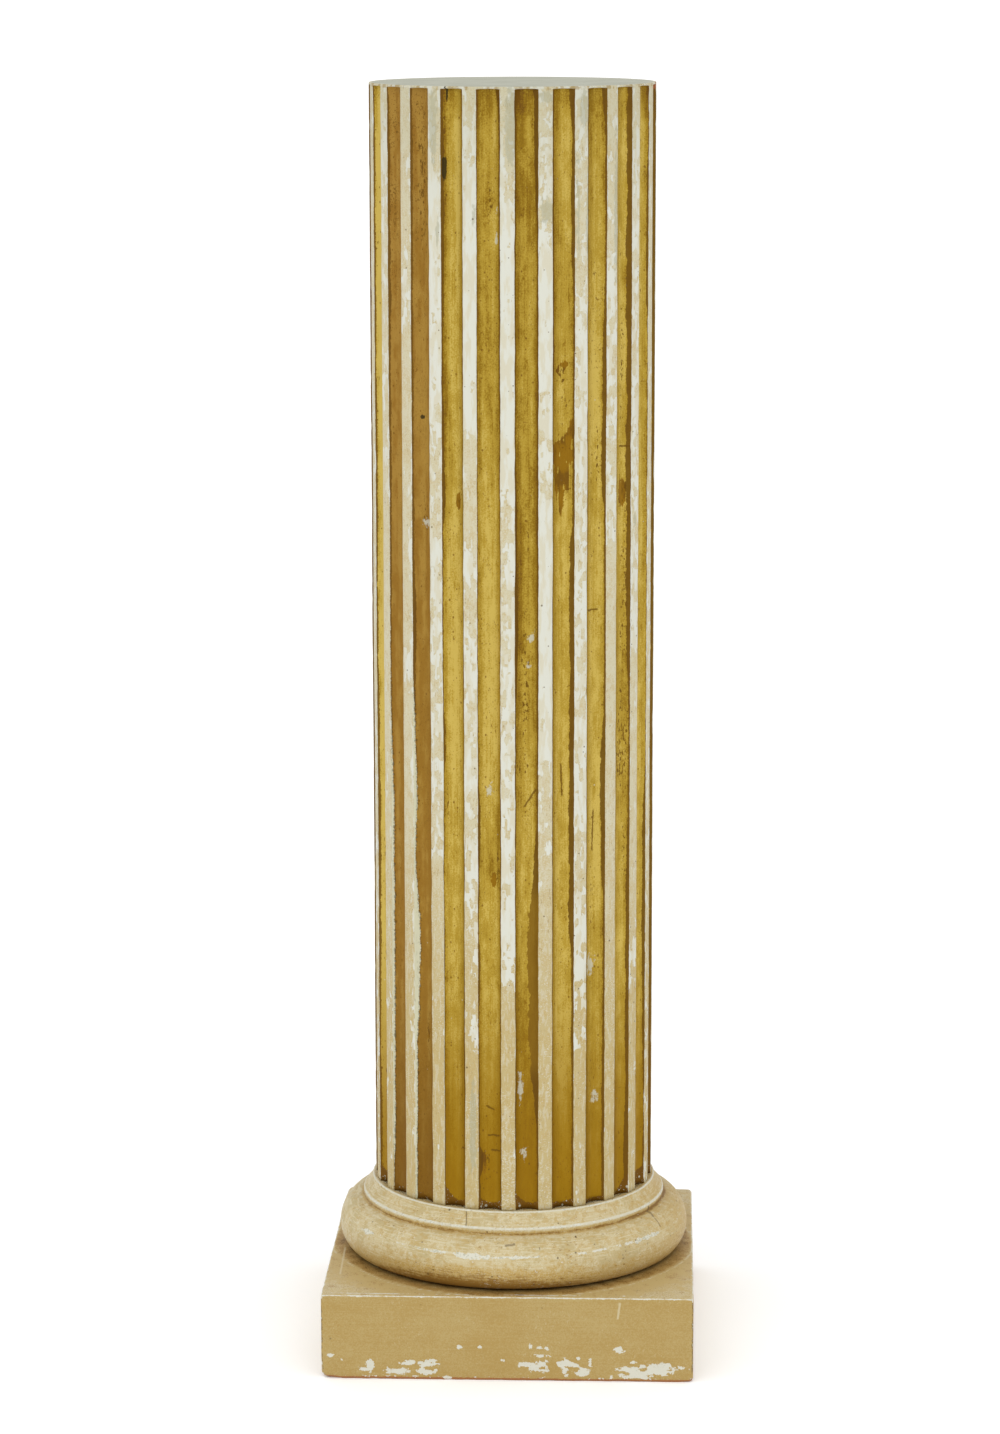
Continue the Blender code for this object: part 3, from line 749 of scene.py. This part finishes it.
def flute_columns():
    """The columns of one flute and the fillet after it, as seen in section.

    Each column gives its angle from the flute's middle, its radius, how far it lies inside the flute's edge
    (negative on the fillet), and its share of the way across the flute from -1 to 1.
    """
    edge = FLUTE_HALF_ANGLE
    hollow = (FLUTE_HALF_WIDTH ** 2 + FLUTE_DEPTH ** 2) / (2 * FLUTE_DEPTH)
    centre = SHAFT_RADIUS * math.cos(edge) - FLUTE_DEPTH + hollow
    cut_turn = math.atan2(FLUTE_HALF_WIDTH, hollow - FLUTE_DEPTH) - ARRIS_CUT / hollow
    columns = []
    for step in range(FLUTE_STEPS + 1):
        turn = cut_turn * (2 * step / FLUTE_STEPS - 1)
        sideways = hollow * math.sin(turn)
        inward = centre - hollow * math.cos(turn)
        columns.append((math.atan2(sideways, inward), math.hypot(sideways, inward),
                        FLUTE_HALF_WIDTH - abs(sideways), sideways / FLUTE_HALF_WIDTH))
    fillet_start = edge + ARRIS_CUT / SHAFT_RADIUS
    corner_angle = (columns[-1][0] + 2 * edge + fillet_start) / 4
    corner_radius = (columns[-1][1] + 3 * SHAFT_RADIUS) / 4
    columns.append((corner_angle, corner_radius, 0.0, 1.0))
    for step in range(FILLET_STEPS + 1):
        angle = fillet_start + (PITCH - 2 * fillet_start) * step / FILLET_STEPS
        from_edge = min(angle - edge, PITCH - edge - angle) * SHAFT_RADIUS
        columns.append((angle, SHAFT_RADIUS, -from_edge, 1.0 if step <= FILLET_STEPS / 2 else -1.0))
    columns.append((PITCH - corner_angle, corner_radius, 0.0, -1.0))
    return columns


def shaft_rows():
    """Rows of the shaft: height, whether the flutes are closed there, and how far the edge draws in."""
    lip = SHAFT_TOP - LIP_THICKNESS
    fine_start, fine_end, fine_step = FINE_ROWS
    even = np.linspace(SHAFT_FOOT, lip, SHAFT_ROWS + 1)
    coarse = even[(even < SHAFT_TOP - fine_end) | (even > SHAFT_TOP - fine_start)]
    fine = SHAFT_TOP - np.arange(fine_start, fine_end, fine_step)
    rows = [(height, False, 0.0) for height in sorted([*coarse, *fine])]
    rows.append((lip + LIP_SLOPE, True, 0.0))
    for degrees in (0, 30, 60, 90):
        turn = math.radians(degrees)
        drop = TOP_EDGE_RADIUS * (1 - math.sin(turn))
        rows.append((SHAFT_TOP - drop, True, TOP_EDGE_RADIUS * (1 - math.cos(turn))))
    return rows


def coat_left(fillet, depth):
    """Share of cream paint left on a fillet at each depth below the top."""
    if fillet in FILLET_COATS:
        ends, shares = np.array(FILLET_COATS[fillet]).T
        runs = [np.searchsorted(ends * MM, depth + shift) for shift in (-COAT_BLUR, 0, COAT_BLUR)]
        return np.mean([shares[np.minimum(run, len(ends) - 1)] for run in runs], axis=0)
    line = np.stack([np.full_like(depth, fillet * 0.31), depth, np.zeros_like(depth)], axis=1)
    height_share = smooth_step(depth, 0.3, 0.75)
    return np.clip(0.25 + 0.7 * height_share + 0.6 * smooth_noise(line, (1, 0.045, 1), 61), 0.03, 1.0)


def bump(sideways, upward):
    """A soft round mark: 1 in the middle and about 0.5 at a distance of 1."""
    return np.exp(-MARK_FALL * (sideways ** 2 + upward ** 2))


def mark(angle, depth, mark_angle, mark_depth, half_width, half_height):
    """One soft mark on the shaft."""
    sideways = (angle - math.radians(mark_angle)) * SHAFT_RADIUS / MM
    return bump(sideways / half_width, (depth / MM - mark_depth) / half_height)


def marks(angle, depth, table):
    return np.max([mark(angle, depth, *entry) for entry in table], axis=0)


def turned(radii, angles, height):
    """Places round the upright axis; angle 0 faces the front."""
    return np.stack([radii * np.sin(angles), -radii * np.cos(angles), height], axis=1)


def run_along(table, number, depth, usual):
    """Value of a table of depth and reach pairs for one flute, joined by straight lines."""
    if number not in table:
        return np.full_like(depth, usual)
    depths, reaches = np.array(table[number]).T * MM
    return np.interp(depth, depths, reaches)


def lot_of(number, seed):
    """One lasting random value from -1 to 1 for a flute."""
    return lattice_value(np.array([[number, 3, 5]]), seed)[0]


def make_shaft():
    """The fluted shaft with uneven flutes, worn arrises and a closed foot and top."""
    one_pitch = flute_columns()
    half_flutes = FLUTE_COUNT // 2
    numbers = np.repeat(np.arange(-half_flutes, half_flutes), len(one_pitch))
    section = np.tile(np.array(one_pitch), (FLUTE_COUNT, 1))
    angle = (numbers + 0.5) * PITCH + section[:, 0]
    rows = shaft_rows()
    columns = len(angle)
    height, closed, draw_in = (np.repeat(values, columns) for values in zip(*rows))
    angles, radii, insides, sides, flutes, fillets = (np.tile(values, len(rows)) for values in (
        angle, section[:, 1], section[:, 2], section[:, 3], numbers, np.round(angle / PITCH).astype(int)))
    radii = np.where(closed, SHAFT_RADIUS, radii) - draw_in
    place = turned(radii, angles, height)
    depth = SHAFT_TOP - height

    # Uneven carving: slow waves all over, deeper and shallower flutes, arrises that waver and are nicked
    in_flute = np.clip(insides / FLUTE_RAMP, 0, 1) * ~closed
    at_arris = smooth_step(-np.abs(insides), -ARRIS_REACH, -0.0003) * ~closed
    radii = radii - CARVING_WAVE * (1 + smooth_noise(place, 0.11, 1))
    radii = radii + FLUTE_WAVE * in_flute * smooth_noise(place, (0.03, 0.03, 0.055), 2)
    nick = np.clip(smooth_noise(place, (0.006, 0.006, 0.01), 3) - 0.45, 0, 1)
    radii = radii - NICK_DEPTH * at_arris * nick
    edge_waver = smooth_noise(place, (0.009, 0.009, 0.014), 4)
    edge_waver = edge_waver + 0.7 * smooth_noise(place, (0.009, 0.009, 0.05), 5)
    angles = angles + ARRIS_WAVER * at_arris * edge_waver / SHAFT_RADIUS
    bare = marks(angles, depth, BARE_EDGES)
    rim_noise = np.clip(smooth_noise(place, (0.01, 0.01, 0.1), 6) - 0.1, 0, 1)
    radii = radii - BARE_DEPTH * bare - RIM_WEAR * rim_noise * smooth_step(-depth, -0.003, -0.0005)
    vertices = turned(radii, angles, height)

    coat = np.zeros(len(vertices))
    for number in np.unique(fillets):
        chosen = fillets == number
        coat[chosen] = coat_left(number if number < half_flutes else number - FLUTE_COUNT, depth[chosen])
    for *spot, change in COAT_MARKS:
        coat = coat + change * mark(angles, depth, *spot)
    coat = np.clip(np.where(closed, 0.45, coat), *COAT_LIMITS)
    coat = 0.5 + ISLAND_SPREAD * np.log(coat / (1 - coat))

    tone, matt, dark_left, dark_right, overpaint, foot_line = np.zeros((6, len(vertices)))
    for number in range(-half_flutes, half_flutes):
        chosen = flutes == number
        deep = depth[chosen]
        tone[chosen] = FLUTE_TONES.get(number, 0.38 + 0.22 * lot_of(number, 71))
        matt[chosen] = MATT_FLUTES.get(number, 0.0)
        dark_left[chosen] = run_along(DARK_LEFT, number, deep, 0.0013 + 0.0006 * lot_of(number, 72))
        dark_right[chosen] = run_along(DARK_RIGHT, number, deep, 0.0014 + 0.0007 * lot_of(number, 73))
        overpaint[chosen] = run_along(OVERPAINT_LEFT, number, deep, 0.0)
        left, middle, right = (line * MM for line in FOOT_LINES.get(number, USUAL_FOOT_LINE))
        across = sides[chosen]
        bow = (left + right) / 2 - middle
        foot_line[chosen] = middle + (right - left) / 2 * across + bow * across ** 2
    for *spot, change in TONE_AND_SHEEN_MARKS:
        tone = tone + change * mark(angles, depth, *spot)
    top_change, top_reach = TOP_BROWNING
    foot_change, foot_start, foot_end = FOOT_BROWNING
    tone = tone + top_change * smooth_step(-depth, -top_reach, 0.0)
    tone = tone + foot_change * smooth_step(depth, foot_start, foot_end)

    # Close the top with rings that run in to a middle vertex, and the foot with a fan
    rings = [vertices]
    for share in TOP_RINGS:
        ring = vertices[-columns:] * (share, share, 1.0)
        ring[:, 2] -= TOP_WAVE * (1 + smooth_noise(ring, 0.05, 7))
        rings.append(ring)
    all_vertices, faces = capped_tube(np.concatenate(rings), columns, SHAFT_TOP - TOP_DISH, SHAFT_FOOT)
    face_slots = np.zeros(len(faces), np.int32)
    face_slots[(len(rows) - 1) * columns:-columns] = 1
    attributes = {"across": np.where(closed, -FILLET_WIDTH / 2, insides), "side": sides, "coat": coat,
                  "tone": tone, "matt": matt, "dark_left": dark_left, "dark_right": dark_right,
                  "overpaint": overpaint, "foot": foot_line - (height - SHAFT_FOOT),
                  "worn": marks(angles, depth, WORN_PATCHES) - marks(angles, depth, KEPT_GILDING),
                  "flaky": marks(angles, depth, FLAKY_PARTS),
                  "stain": marks(angles, depth, DARK_MARKS), "dust": marks(angles, depth, PALE_SMUDGES),
                  "smudge": marks(angles, depth, FILLET_SMUDGES), "bare": bare, "rim": 1.0 * closed}
    make_piece("shaft_carved_and_painted", "fluted_shaft",
               [shaft_finish(), top_finish()], all_vertices, faces, attributes, face_slots,
               around=angles * SHAFT_RADIUS)


def arc(centre_r, centre_z, reach_r, reach_z, start, end, steps):
    """Points (r, z) along an ellipse between two angles in degrees, both ends included."""
    turns = np.radians(np.linspace(start, end, steps + 1))
    return np.stack([centre_r + reach_r * np.cos(turns), centre_z + reach_z * np.sin(turns)], axis=1)


def base_profile():
    """Half section of the moulding from its underside up."""
    small = RING_ARRIS_RADIUS
    lower = arc(TORUS_RADIUS - TORUS_UNDERCUT, TORUS_MIDDLE, TORUS_UNDERCUT, TORUS_LOWER_RISE, -90, 0, 24)
    upper = arc(RING_RADIUS, TORUS_MIDDLE, TORUS_RADIUS - RING_RADIUS, TORUS_UPPER_RISE, 0, 90, 30)[1:]
    riser = np.stack([np.full(3, RING_RADIUS), np.linspace(RING_FOOT, COVE_FOOT, 5)[1:4]], axis=1)
    lower_arris = arc(RING_RADIUS - small, COVE_FOOT, small, small, 0, 60, 4)
    upper_arris = arc(LEDGE_RADIUS - small, LEDGE - small, small, small, 15, 90, 4)
    share = np.linspace(0, 1, 13)[1:-1, None]
    cove = lower_arris[-1] + (upper_arris[0] - lower_arris[-1]) * share
    cove[:, 0] -= (4 * RING_COVE_SAG * share * (1 - share))[:, 0]
    inner = [(SHAFT_RADIUS - inward, LEDGE) for inward in (0, 0.003, 0.008)]
    return np.concatenate([lower, upper, riser, lower_arris, cove, upper_arris, inner])


def make_base():
    """The turned base moulding, slightly uneven, with the wear, the soil and the painted shade of each
    member.
    """
    profile = base_profile()
    turn = np.arange(BASE_COLUMNS) / BASE_COLUMNS * math.tau - math.pi
    angles = np.tile(turn, len(profile))
    radii, height = np.repeat(profile, BASE_COLUMNS, axis=0).T
    place = turned(radii, angles, height)
    degrees = np.degrees(angles)

    # White wear on the two arrises of the ring and along the crest of the torus
    lower_arris = np.exp(-((height - COVE_FOOT - 0.0005) / 0.0009) ** 2)
    upper_arris = np.exp(-(np.hypot(height - LEDGE, radii - LEDGE_RADIUS) / 0.0011) ** 2)
    crest_line = CREST_HEIGHT + 0.0012 * smooth_noise(place, (0.04, 0.04, 1.0), 11)
    crest_width = 0.0011 * np.ones_like(angles)
    crest_share = 0.3 + 0.25 * smooth_noise(place, (0.02, 0.02, 0.2), 14)
    for middle_angle, spread, amount, widening in CREST_WEAR:
        near = np.exp(-((degrees - middle_angle) / spread) ** 2)
        crest_share = crest_share + amount * near
        crest_width = crest_width + widening * MM * near
    crest = np.exp(-((height - crest_line) / crest_width) ** 2) * (height < RING_FOOT)
    arris = np.maximum(lower_arris, upper_arris)
    wear = np.maximum(arris * 0.56, crest * crest_share)

    # Darker under the torus and in the quirk below the ring: painted shade with some soil; more soil on the
    # right side; and a dark crust with painted contact shade at the joints
    low_share = np.clip((TORUS_MIDDLE + 0.008 - height) / (TORUS_LOWER_RISE + 0.008), 0, 1)
    quirk = np.exp(-(np.hypot(height - RING_FOOT - 0.0012, radii - RING_RADIUS) / 0.0022) ** 2)
    low_share = low_share * (0.86 + 0.5 * np.cos(np.radians(np.clip(2.6 * (degrees + 12), -180, 180))))
    soil_and_shade = np.maximum(0.09 + 1.02 * low_share, 0.92 * quirk)
    soil_and_shade = soil_and_shade + 0.38 * smooth_step(degrees, 25, 85) * smooth_step(-degrees, -130, -90) * (low_share < 0.5)
    at_shaft = smooth_step(-radii, -SHAFT_RADIUS - 0.0008, -SHAFT_RADIUS + 0.0006) * (height > LEDGE - 0.001)
    # A dark crust where the base meets the plinth and the shaft: dirt and painted contact shade.
    crust_and_shade = np.maximum(smooth_step(-(height - BASE_LOW.z), -0.004, -0.001), 0.52 * at_shaft)
    pits = np.zeros_like(angles)
    for pit_angle, pit_height, size in BASE_PITS:
        sideways = np.radians(degrees - pit_angle) * radii / MM
        upward = height / MM - pit_height
        pits = np.maximum(pits, bump(sideways / size, upward / size))

    worn_down = arris * (1 + smooth_noise(place, 0.012, 12))
    radii = radii - BASE_WEAR * worn_down - BASE_WAVE * (1 + smooth_noise(place, 0.05, 13))
    vertices, faces = capped_tube(turned(radii, angles, height), BASE_COLUMNS, LEDGE, BASE_LOW.z)
    attributes = {"wear": wear, "arris": arris, "soil_and_shade": soil_and_shade, "crust_and_shade": crust_and_shade, "pits": pits}
    make_piece("base_turned_and_painted", "base_moulding", [base_finish()], vertices, faces,
               attributes, around=angles * TORUS_RADIUS)


def grid_lines(low, high, step, edge, low_zone=0.0, low_step=1.0):
    """Grid lines along one side of the plinth, closer together near its ends and in its low zone."""
    near = edge * np.array([0.0, 0.25, 0.5, 0.75, 1.0, 1.5])
    start = low + edge * 2
    end = high - edge * 2
    split = max(start, low + low_zone)
    inner = np.linspace(split, end, max(2, round((end - split) / step) + 1))
    if split > start:
        dense = np.linspace(start, split, round((split - start) / low_step) + 1)
        inner = np.concatenate([dense[:-1], inner])
    return np.concatenate([low + near, inner, high - near[::-1]])


def plinth_grid():
    """Vertices and faces of a closed box with all its grid lines."""
    low, high = np.array(PLINTH_LOW), np.array(PLINTH_HIGH)
    edge = PLINTH_EDGE_RADIUS * 2
    lines = [grid_lines(low[axis], high[axis], PLINTH_STEPS[axis], edge) for axis in range(2)]
    lines.append(grid_lines(low[2], high[2], PLINTH_STEPS[2], edge, PLINTH_LOW_ZONE, PLINTH_LOW_STEP))
    index, vertices, faces = {}, [], []

    def vertex(spot):
        if spot not in index:
            index[spot] = len(vertices)
            vertices.append([lines[axis][spot[axis]] for axis in range(3)])
        return index[spot]

    sizes = [len(line) for line in lines]
    for axis in range(3):
        u, v = (axis + 1) % 3, (axis + 2) % 3
        for end in (0, sizes[axis] - 1):
            for a in range(sizes[u] - 1):
                for b in range(sizes[v] - 1):
                    corners = []
                    for da, db in ((0, 0), (1, 0), (1, 1), (0, 1)):
                        spot = [0, 0, 0]
                        spot[axis], spot[u], spot[v] = end, a + da, b + db
                        corners.append(vertex(tuple(spot)))
                    faces.append(corners if end else corners[::-1])
    return np.array(vertices), faces


def make_plinth():
    """The square plinth as one closed grid, with worn and uneven arrises and chips sunk in its paint."""
    points, faces = plinth_grid()
    low, high = np.array(PLINTH_LOW), np.array(PLINTH_HIGH)
    x, y, z = points.T
    front = y < low[1] + 0.0005

    chips = np.zeros(len(points))
    for chip_x, chip_z, half_width, half_height in PLINTH_CHIPS:
        near = bump((x / MM - chip_x) / half_width, (z / MM - chip_z) / half_height)
        chips = np.maximum(chips, near * front)
    others = np.clip(smooth_noise(points, (0.016, 0.016, 0.006), 25) - 0.25, 0, 1)
    others = others * smooth_step(-z, -0.022, -0.008)
    chips = np.maximum(chips, others * (~front) * (z < high[2] - 0.004) * 1.1)
    chips = chips + 0.24 * smooth_noise(points, (0.0042, 0.0042, 0.0024), 26) * (chips > 0.1)

    # Round the arrises: more where the wear is deeper, most at some of the corners
    unevenness = 0.5 * smooth_noise(points, 0.022, 21) + 0.4 * smooth_noise(points, 0.006, 22)
    rounding = PLINTH_EDGE_RADIUS * (0.9 + unevenness)
    for x_side, y_side, z_side, reach, extra in WORN_CORNERS:
        corner = [(low, high)[side][axis] for axis, side in enumerate((x_side, y_side, z_side))]
        distance = np.linalg.norm(points - np.array(corner), axis=1)
        rounding = rounding + extra * MM * np.exp(-(distance / MM / reach) ** 2)
    rounding = np.clip(rounding, *ROUNDING_LIMITS)[:, None]
    inner = np.clip(points, low + rounding, high - rounding)
    outward = points - inner
    length = np.linalg.norm(outward, axis=1, keepdims=True)
    shaped = inner + outward / np.maximum(length, 1e-9) * np.minimum(length, rounding)
    facing = np.where(points > high - 1e-6, 1.0, 0.0) - np.where(points < low + 1e-6, 1.0, 0.0)
    facing[:, 2] = np.maximum(facing[:, 2], 0)
    sunk = PLINTH_WAVE * (1 + smooth_noise(points, 0.06, 23)) + CHIP_DEPTH * smooth_step(chips, 0.46, 0.54)
    shaped = shaped - facing * sunk[:, None]

    # Wear along the arrises, above the foot and in one line on the top, just behind its front edge
    edge_distance = np.stack([x - low[0], high[0] - x, y - low[1], high[1] - y, z - low[2], high[2] - z])
    second = np.sort(edge_distance, axis=0)[1]
    at_edge = np.exp(-(second / 0.0013) ** 2)
    top_edge = z > high[2] - 0.004
    wear = at_edge * np.where(top_edge, 0.8, 0.44) * (z > 0.012)
    wear = np.maximum(wear, 0.4 * np.exp(-((z - 0.0028) / 0.0013) ** 2))
    line_back = 0.0066 + 0.0008 * smooth_noise(points, (0.07, 1, 1), 28)
    second_line = np.exp(-((y - low[1] - line_back) / 0.0011) ** 2)
    second_line = second_line * (0.62 + 0.4 * smooth_noise(points, (0.03, 1, 1), 24))
    wear = np.maximum(wear, second_line * (z > high[2] - 0.0005))
    upper = smooth_step(z, high[2] - 0.0012, high[2] - 0.0002)

    # Dirt round the torus, ending in a paler ridge; right beside the torus the darkening is painted contact
    # shade with the dirt
    from_axis = np.hypot(x, y)
    ring_edge = TORUS_RADIUS + 0.005 + 0.002 * smooth_noise(points, (0.03, 0.03, 1), 27)
    ring = smooth_step(ring_edge - from_axis, -0.0012, 0.0012)
    beside = smooth_step(TORUS_RADIUS + 0.0025 - from_axis, -0.003, 0.002)
    ridge = np.exp(-((from_axis - ring_edge - 0.001) / 0.0011) ** 2)
    attributes = {"wear": wear, "chips": chips, "upper": upper, "front": 1.0 * front,
                  "soil_and_shade": upper * (0.23 + 0.19 * ring + 0.34 * beside - 0.4 * ridge),
                  "pale": 0.06 + 0.45 * smooth_step(from_axis, 0.155, 0.2) + 0.6 * ridge,
                  "foot_wear": np.exp(-(z / 0.0034) ** 2) * np.exp(-(second / 0.005) ** 2),
                  "edge_dirt": np.exp(-(second / 0.0022) ** 2) * (~top_edge) * (z > 0.006) * 0.62}
    make_piece("plinth_painted", "plinth", [plinth_finish()], shaped, faces, attributes)


# Floor and light: the surround is a little stronger where the camera sees it
FLOOR_REACH = 400.0
FLOOR_WHITE = (0.96, 0.96, 0.96, 1.0)
FLOOR_GLOW_COLOUR = (0.97, 0.98, 1.0, 1.0)
FLOOR_GLOW = 0.12
SURROUND_LIGHT = 0.84
SURROUND_SEEN = 1.05
SUN_ENERGY = 1.0
SUN_SPREAD = math.radians(80)
SUN_TURN = (math.radians(32), 0, math.radians(-4))


def make_floor():
    """A plain pale floor that runs on past the horizon."""
    mesh = bpy.data.meshes.new("floor")
    corners = [(x * FLOOR_REACH, y * FLOOR_REACH, 0) for x, y in ((-1, -1), (1, -1), (1, 1), (-1, 1))]
    mesh.from_pydata(corners, [], [(0, 1, 2, 3)])
    f = Finish("floor_white")
    f.set(colour=FLOOR_WHITE, roughness=0.9, specular=0.0)
    f.shader.inputs["Emission Color"].default_value = FLOOR_GLOW_COLOUR
    f.shader.inputs["Emission Strength"].default_value = FLOOR_GLOW
    mesh.materials.append(f.material)
    floor = bpy.data.objects.new("floor", mesh)
    bpy.context.scene.collection.objects.link(floor)


def make_light():
    """Soft studio light: an even pale surround and a very broad light from above and a little in front."""
    world = bpy.data.worlds.new("studio")
    bpy.context.scene.world = world
    world.use_nodes = True
    nodes, links = world.node_tree.nodes, world.node_tree.links
    background = nodes["Background"]
    background.inputs["Color"].default_value = (1.0, 1.0, 1.0, 1.0)
    seen = nodes.new("ShaderNodeLightPath").outputs["Is Camera Ray"]
    strength = nodes.new("ShaderNodeMix")
    strength.inputs[2].default_value = SURROUND_LIGHT
    strength.inputs[3].default_value = SURROUND_SEEN
    links.new(seen, strength.inputs["Factor"])
    links.new(strength.outputs[0], background.inputs["Strength"])

    sun_data = bpy.data.lights.new("broad_light", "SUN")
    sun_data.energy = SUN_ENERGY
    sun_data.angle = SUN_SPREAD
    sun = bpy.data.objects.new("broad_light", sun_data)
    sun.rotation_euler = SUN_TURN
    bpy.context.scene.collection.objects.link(sun)


# Camera, as found from the photograph's perspective: it stands a little to the right of the front
CAMERA_AZIMUTH = math.radians(2.097)
CAMERA_DISTANCE = 3.516
CAMERA_HEIGHT = 1.2016
CAMERA_HEADING = -0.0398
CAMERA_PITCH = 0.1861
CAMERA_ROLL = -0.0015
CAMERA_LENS = 104.94
SENSOR_SIZE = 36.0


def make_camera():
    """The camera of the main view."""
    data = bpy.data.cameras.new("camera")
    data.lens = CAMERA_LENS
    data.sensor_width = SENSOR_SIZE
    data.clip_end = 1000.0
    camera = bpy.data.objects.new("camera", data)
    turn = (Matrix.Rotation(-CAMERA_HEADING, 4, "Z") @ Matrix.Rotation(math.pi / 2 - CAMERA_PITCH, 4, "X")
            @ Matrix.Rotation(CAMERA_ROLL, 4, "Z"))
    place = Vector((CAMERA_DISTANCE * math.sin(CAMERA_AZIMUTH), -CAMERA_DISTANCE * math.cos(CAMERA_AZIMUTH),
                    CAMERA_HEIGHT))
    camera.matrix_world = Matrix.Translation(place) @ turn
    bpy.context.scene.collection.objects.link(camera)
    bpy.context.scene.camera = camera


make_shaft()
make_base()
make_plinth()
make_floor()
make_light()
make_camera()
bpy.context.scene.view_settings.view_transform = "Standard"
